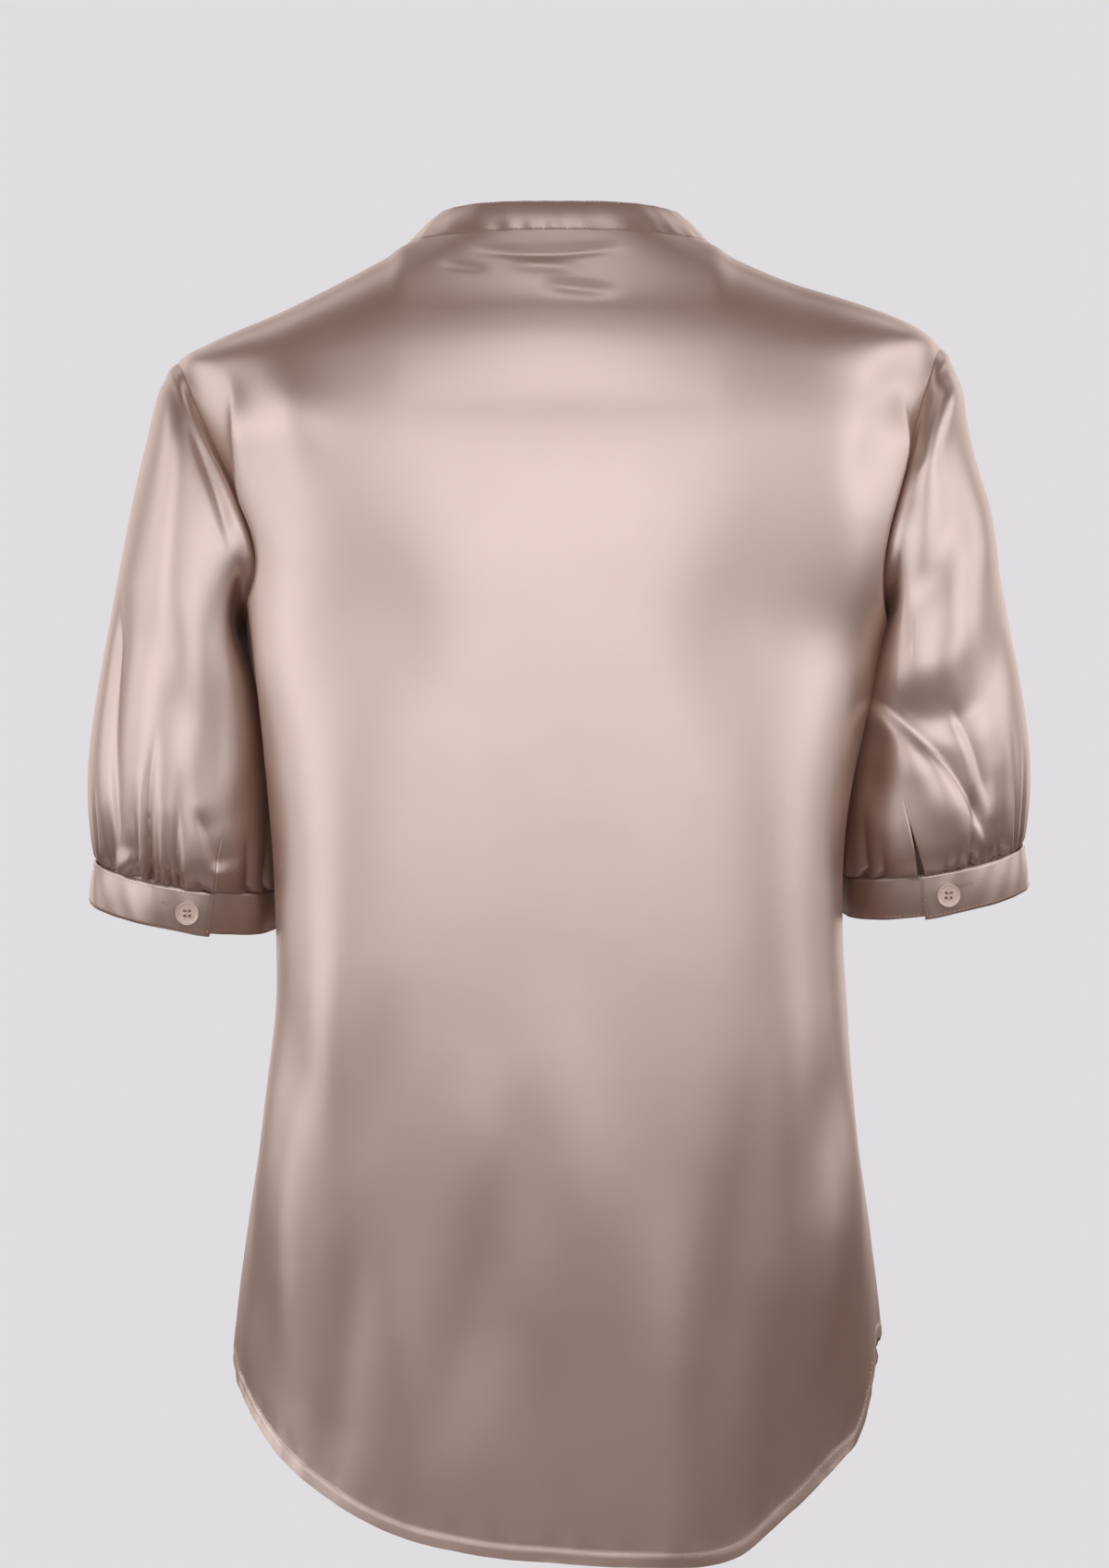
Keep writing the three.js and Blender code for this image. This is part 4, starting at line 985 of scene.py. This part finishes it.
def stitch_line(name, path, normals, pitch=2.5, length=2.0, radius=0.15, crosswise=False):
    """One piece of thread for each stitch of a line, in millimetres"""
    total = np.linalg.norm(np.diff(path, axis=0), axis=-1).sum()
    spots = np.arange(0.6 * pitch, total - 0.4 * pitch, pitch)
    point, way, normal, _ = along_path(path, normals, spots)
    side = np.cross(way, normal)
    if crosswise:
        way, side = side, -way
    stations = [(-0.5, -0.2, 0.5), (-0.32, 0.1, 1), (0.32, 0.1, 1), (0.5, -0.2, 0.5)]
    corners = 5
    rings = []
    for at, lifted, thick in stations:
        centre = point + way * (at * length) + normal * lifted
        for k in range(corners):
            turn = 2 * math.pi * k / corners
            rings.append(centre + (side * math.cos(turn) + normal * math.sin(turn)) * radius * thick)
    points = np.stack(rings, 1)
    faces = []
    for a in range(len(stations) - 1):
        for k in range(corners):
            n = (k + 1) % corners
            faces.append((a * corners + k, a * corners + n, (a + 1) * corners + n, (a + 1) * corners + k))
    last = (len(stations) - 1) * corners
    ends = [list(range(corners))[::-1], [last + k for k in range(corners)]]
    count = len(stations) * corners
    all_faces = []
    for stitch in range(len(spots)):
        for face in faces + ends:
            all_faces.append([stitch * count + k for k in face])
    mesh = bpy.data.meshes.new(name)
    mesh.from_pydata((points.reshape(-1, 3) / 1000).tolist(), [], all_faces)
    thread = bpy.data.objects.new(name, mesh)
    bpy.context.collection.objects.link(thread)
    select_only(thread)
    bpy.ops.object.mode_set(mode="EDIT")
    bpy.ops.mesh.select_all(action="SELECT")
    bpy.ops.mesh.normals_make_consistent(inside=False)
    bpy.ops.object.mode_set(mode="OBJECT")
    finish_piece(thread, thread_material)
    return thread


def hem_path(grid, normals, height):
    """A line a height above the lower edge of a panel"""
    up = distance_along(grid, 0)
    up = up[-1:] - up
    line = []
    for column in range(grid.shape[1]):
        row = np.interp(-height, -up[:, column], np.arange(grid.shape[0]))
        low = int(row)
        part = row - low
        line.append(mix(
            np.stack([grid[low, column], normals[low, column]]),
            np.stack([grid[low + 1, column], normals[low + 1, column]]),
            part,
        ))
    line = np.array(line)
    return line[:, 0], line[:, 1]


stitch_line("back_hem_thread", *hem_path(back_grid, back_normals, 7))
for side, (grid, normals) in front_parts.items():
    stitch_line("front_" + side + "_hem_thread", *hem_path(grid, normals, 7))


def grid_path(grid, normals, steps):
    """A line through a grid, as row and column numbers that may fall between its points"""
    line = []
    for row, column in steps:
        i = min(int(row), grid.shape[0] - 2)
        j = min(int(column), grid.shape[1] - 2)
        a, b = row - i, column - j
        pair = []
        for source in (grid, normals):
            pair.append(mix(mix(source[i, j], source[i, j + 1], b), mix(source[i + 1, j], source[i + 1, j + 1], b), a))
        line.append(pair)
    line = np.array(line)
    return line[:, 0], unit(line[:, 1])


def frame_line(name, grid, normals, top, bottom, first, last):
    """Topstitching round all four edges of a band"""
    across = np.arange(first, last + 0.001)
    downs = np.linspace(top, bottom, 12)
    stitch_line(name + "_upper", *grid_path(grid, normals, [(top, c) for c in across]))
    stitch_line(name + "_lower", *grid_path(grid, normals, [(bottom, c) for c in across]))
    stitch_line(name + "_first", *grid_path(grid, normals, [(r, first) for r in downs]))
    stitch_line(name + "_last", *grid_path(grid, normals, [(r, last) for r in downs]))


collar_top = np.interp(1.7, 25 - collar_up[::-1], np.arange(len(collar_up)))
collar_low = np.interp(23.4, 25 - collar_up[::-1], np.arange(len(collar_up)))
frame_line("collar_thread", collar_grid, collar_normals, collar_top, collar_low, 1, 298)
for side, (grid, normals) in cuff_parts.items():
    cuff_top = np.interp(1.5, cuff_down, np.arange(len(cuff_down)))
    cuff_low = np.interp(19.5, cuff_down, np.arange(len(cuff_down)))
    frame_line("cuff_" + side + "_thread", grid, normals, cuff_top, cuff_low, 0.9, 180)
band_normals = right_normals[:, band_columns]
rows = range(2, len(panel_rows) - 1)
for name, column in (("outer", 0.75), ("inner", 11.2)):
    line = grid_path(band_grid, band_normals, [(row, column) for row in rows])
    stitch_line("band_thread_" + name, *line)


def buttonhole(name, grid, normals, line, across):
    """Close stitches along both edges of a slit, and a bar at each end of it"""
    for part, sign in (("upper", -1), ("lower", 1)):
        edge = [(row + sign * across[0], column + sign * across[1]) for row, column in line]
        stitch_line(name + "_" + part, *grid_path(grid, normals, edge), 0.42, 1.0, 0.2, True)
    for part, row, column in (("near", *line[0]), ("far", *line[-1])):
        bar = [(row + k * across[0], column + k * across[1]) for k in np.linspace(-1.6, 1.6, 6)]
        stitch_line(name + "_" + part, *grid_path(grid, normals, bar), 0.5, 0.9, 0.22, True)


for side, (grid, normals) in cuff_parts.items():
    row = np.interp(8.1, cuff_down, np.arange(len(cuff_down)))
    slope = np.interp(8.7, cuff_down, np.arange(len(cuff_down))) - row
    buttonhole(
        "cuff_" + side + "_buttonhole", grid, normals, [(row, c) for c in np.linspace(6.9, 15.2, 24)], (slope, 0)
    )


# Buttons: pale shell discs with a rim, a dished middle and four holes, sewn on with thread.
# The two on the cuffs are seen, and those of the front and the collar are the same.
shell = bpy.data.materials.new("pale shell")
shell.use_nodes = True
shell.node_tree.nodes.clear()
pearl = Shade(shell.node_tree)
spot = pearl.node("ShaderNodeTexCoord", output="Object")
layers = pearl.node("ShaderNodeTexNoise", values={"Vector": spot, "Scale": 420.0, "Detail": 3.0, "Distortion": 1.2})
pearl_tone = pearl.node(
    "ShaderNodeMix",
    {"data_type": "RGBA"},
    {0: layers, 6: (0.6, 0.42, 0.35, 1), 7: (0.78, 0.62, 0.55, 1)},
    2,
)
pearl_bump = pearl.node("ShaderNodeBump", values={"Height": 0.00004 * layers, "Distance": 1.0, "Strength": 0.5})
pearl_skin = pearl.node(
    "ShaderNodeBsdfPrincipled",
    values={
        "Base Color": pearl_tone,
        "Roughness": 0.2 + 0.12 * layers,
        "Coat Weight": 0.5,
        "Coat Roughness": 0.12,
        "Normal": pearl_bump,
    },
)
pearl.node("ShaderNodeOutputMaterial", values={"Surface": pearl_skin})

bpy.ops.object.select_all(action="DESELECT")
bpy.ops.mesh.primitive_cylinder_add(vertices=72, radius=0.006, depth=0.0024, location=(0, 0, 0))
blank = bpy.context.object
bpy.ops.object.mode_set(mode="EDIT")
bpy.ops.mesh.select_mode(type="FACE")
for out, insets in ((1, ((0.0006, -0.00005), (0.0005, -0.00055), (0.0021, -0.00012))), (-1, ((0.0009, -0.00035),))):
    bpy.ops.mesh.select_all(action="DESELECT")
    shape = bmesh.from_edit_mesh(blank.data)
    for face in shape.faces:
        face.select_set(face.normal.z * out > 0.9)
    bmesh.update_edit_mesh(blank.data)
    for inset, sunk in insets:
        bpy.ops.mesh.inset(thickness=inset)
        bpy.ops.transform.translate(value=(0, 0, sunk))
bpy.ops.object.mode_set(mode="OBJECT")
bpy.ops.object.select_all(action="DESELECT")
holes = []
for x in (-0.0013, 0.0013):
    for y in (-0.0013, 0.0013):
        bpy.ops.mesh.primitive_cylinder_add(vertices=20, radius=0.00075, depth=0.006, location=(x, y, 0))
        holes.append(bpy.context.object)
for hole in holes:
    hole.select_set(True)
bpy.ops.object.join()
cutter = bpy.context.object
select_only(blank)
drill = blank.modifiers.new("holes", "BOOLEAN")
drill.operation = "DIFFERENCE"
drill.object = cutter
bpy.ops.object.modifier_apply(modifier=drill.name)
bevel = blank.modifiers.new("edges", "BEVEL")
bevel.width = 0.00016
bevel.segments = 2
bevel.limit_method = "ANGLE"
bevel.angle_limit = math.radians(32)
bpy.ops.object.modifier_apply(modifier=bevel.name)
bpy.data.objects.remove(cutter)

# Strands of thread from hole to hole, in the button's own millimetres
strands = []
for y in (-1.3, 1.3):
    for k in (-0.24, 0, 0.24):
        bend = 0.5 - abs(k)
        strands.append([
            (-1.3, y + 1.3 * k, -1.5), (-1.25, y + 1.2 * k, 0), (-1.1, y + k, 0.55 + 0.1 * bend),
            (-0.7, y + k, 0.76 + 0.2 * bend), (0, y + k, 0.82 + 0.3 * bend), (0.7, y + k, 0.76 + 0.2 * bend),
            (1.1, y + k, 0.55 + 0.1 * bend), (1.25, y + 1.2 * k, 0), (1.3, y + 1.3 * k, -1.5),
        ])
sewing = bpy.data.curves.new("sewing", "CURVE")
sewing.dimensions = "3D"
sewing.bevel_depth = 0.00014
sewing.bevel_resolution = 1
sewing.use_fill_caps = True
for strand in strands:
    line = sewing.splines.new("POLY")
    line.points.add(len(strand) - 1)
    for point, place in zip(line.points, strand):
        point.co = (*(Vector(place) / 1000), 1)
sewing_object = bpy.data.objects.new("sewing", sewing)
bpy.context.collection.objects.link(sewing_object)
select_only(sewing_object)
bpy.ops.object.convert(target="MESH")
sewing_object = bpy.context.object


def place_button(node, grid, normals):
    """A copy of the button and its thread where the solid is, square to the cloth below it"""
    low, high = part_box(node)
    centre = (np.array(low) + np.array(high)) * 500
    gap = np.linalg.norm(grid - centre, axis=-1)
    row, column = np.unravel_index(np.argmin(gap), gap.shape)
    out = unit(normals[row, column])
    centre = centre + out * (np.dot(grid[row, column] - centre, out) + 1.5)
    side = unit(np.cross((0, 0, 1), out))
    turn = Matrix(np.stack([side, np.cross(out, side), out], 1).tolist()).to_4x4()
    place = Matrix.Translation(Vector(centre / 1000)) @ turn
    for source, name, material, node_name, slot in (
        (blank, node + "_shell", shell, node, "buttons"),
        (sewing_object, node + "_thread", thread_material, None, "satin"),
    ):
        mesh = source.data.copy()
        mesh.transform(place)
        copy = bpy.data.objects.new(name, mesh)
        bpy.context.collection.objects.link(copy)
        finish_piece(copy, material, node_name)
    return row, column


for side, (grid, normals) in cuff_parts.items():
    place_button("cuff_button_" + side, grid, normals)
for number in range(1, 7):
    row, column = place_button("front_button_" + str(number), band_grid, band_normals)
    heights = band_grid[:, 6, 2]
    spots = [np.interp(-z, -heights, np.arange(len(heights))) for z in heights[row] + np.linspace(2, -11, 20)]
    name = "front_buttonhole_" + str(number)
    buttonhole(name, band_grid, band_normals, [(spot, 6) for spot in spots], (0, 0.29))
row, column = place_button("collar_button", collar_grid, collar_normals)
slope = 0.6 / np.linalg.norm(collar_grid[row + 1, column] - collar_grid[row, column])
buttonhole(
    "collar_buttonhole", collar_grid, collar_normals, [(row, c) for c in np.linspace(column - 7, column + 1.2, 24)],
    (slope, 0),
)
bpy.data.objects.remove(blank)
bpy.data.objects.remove(sewing_object)
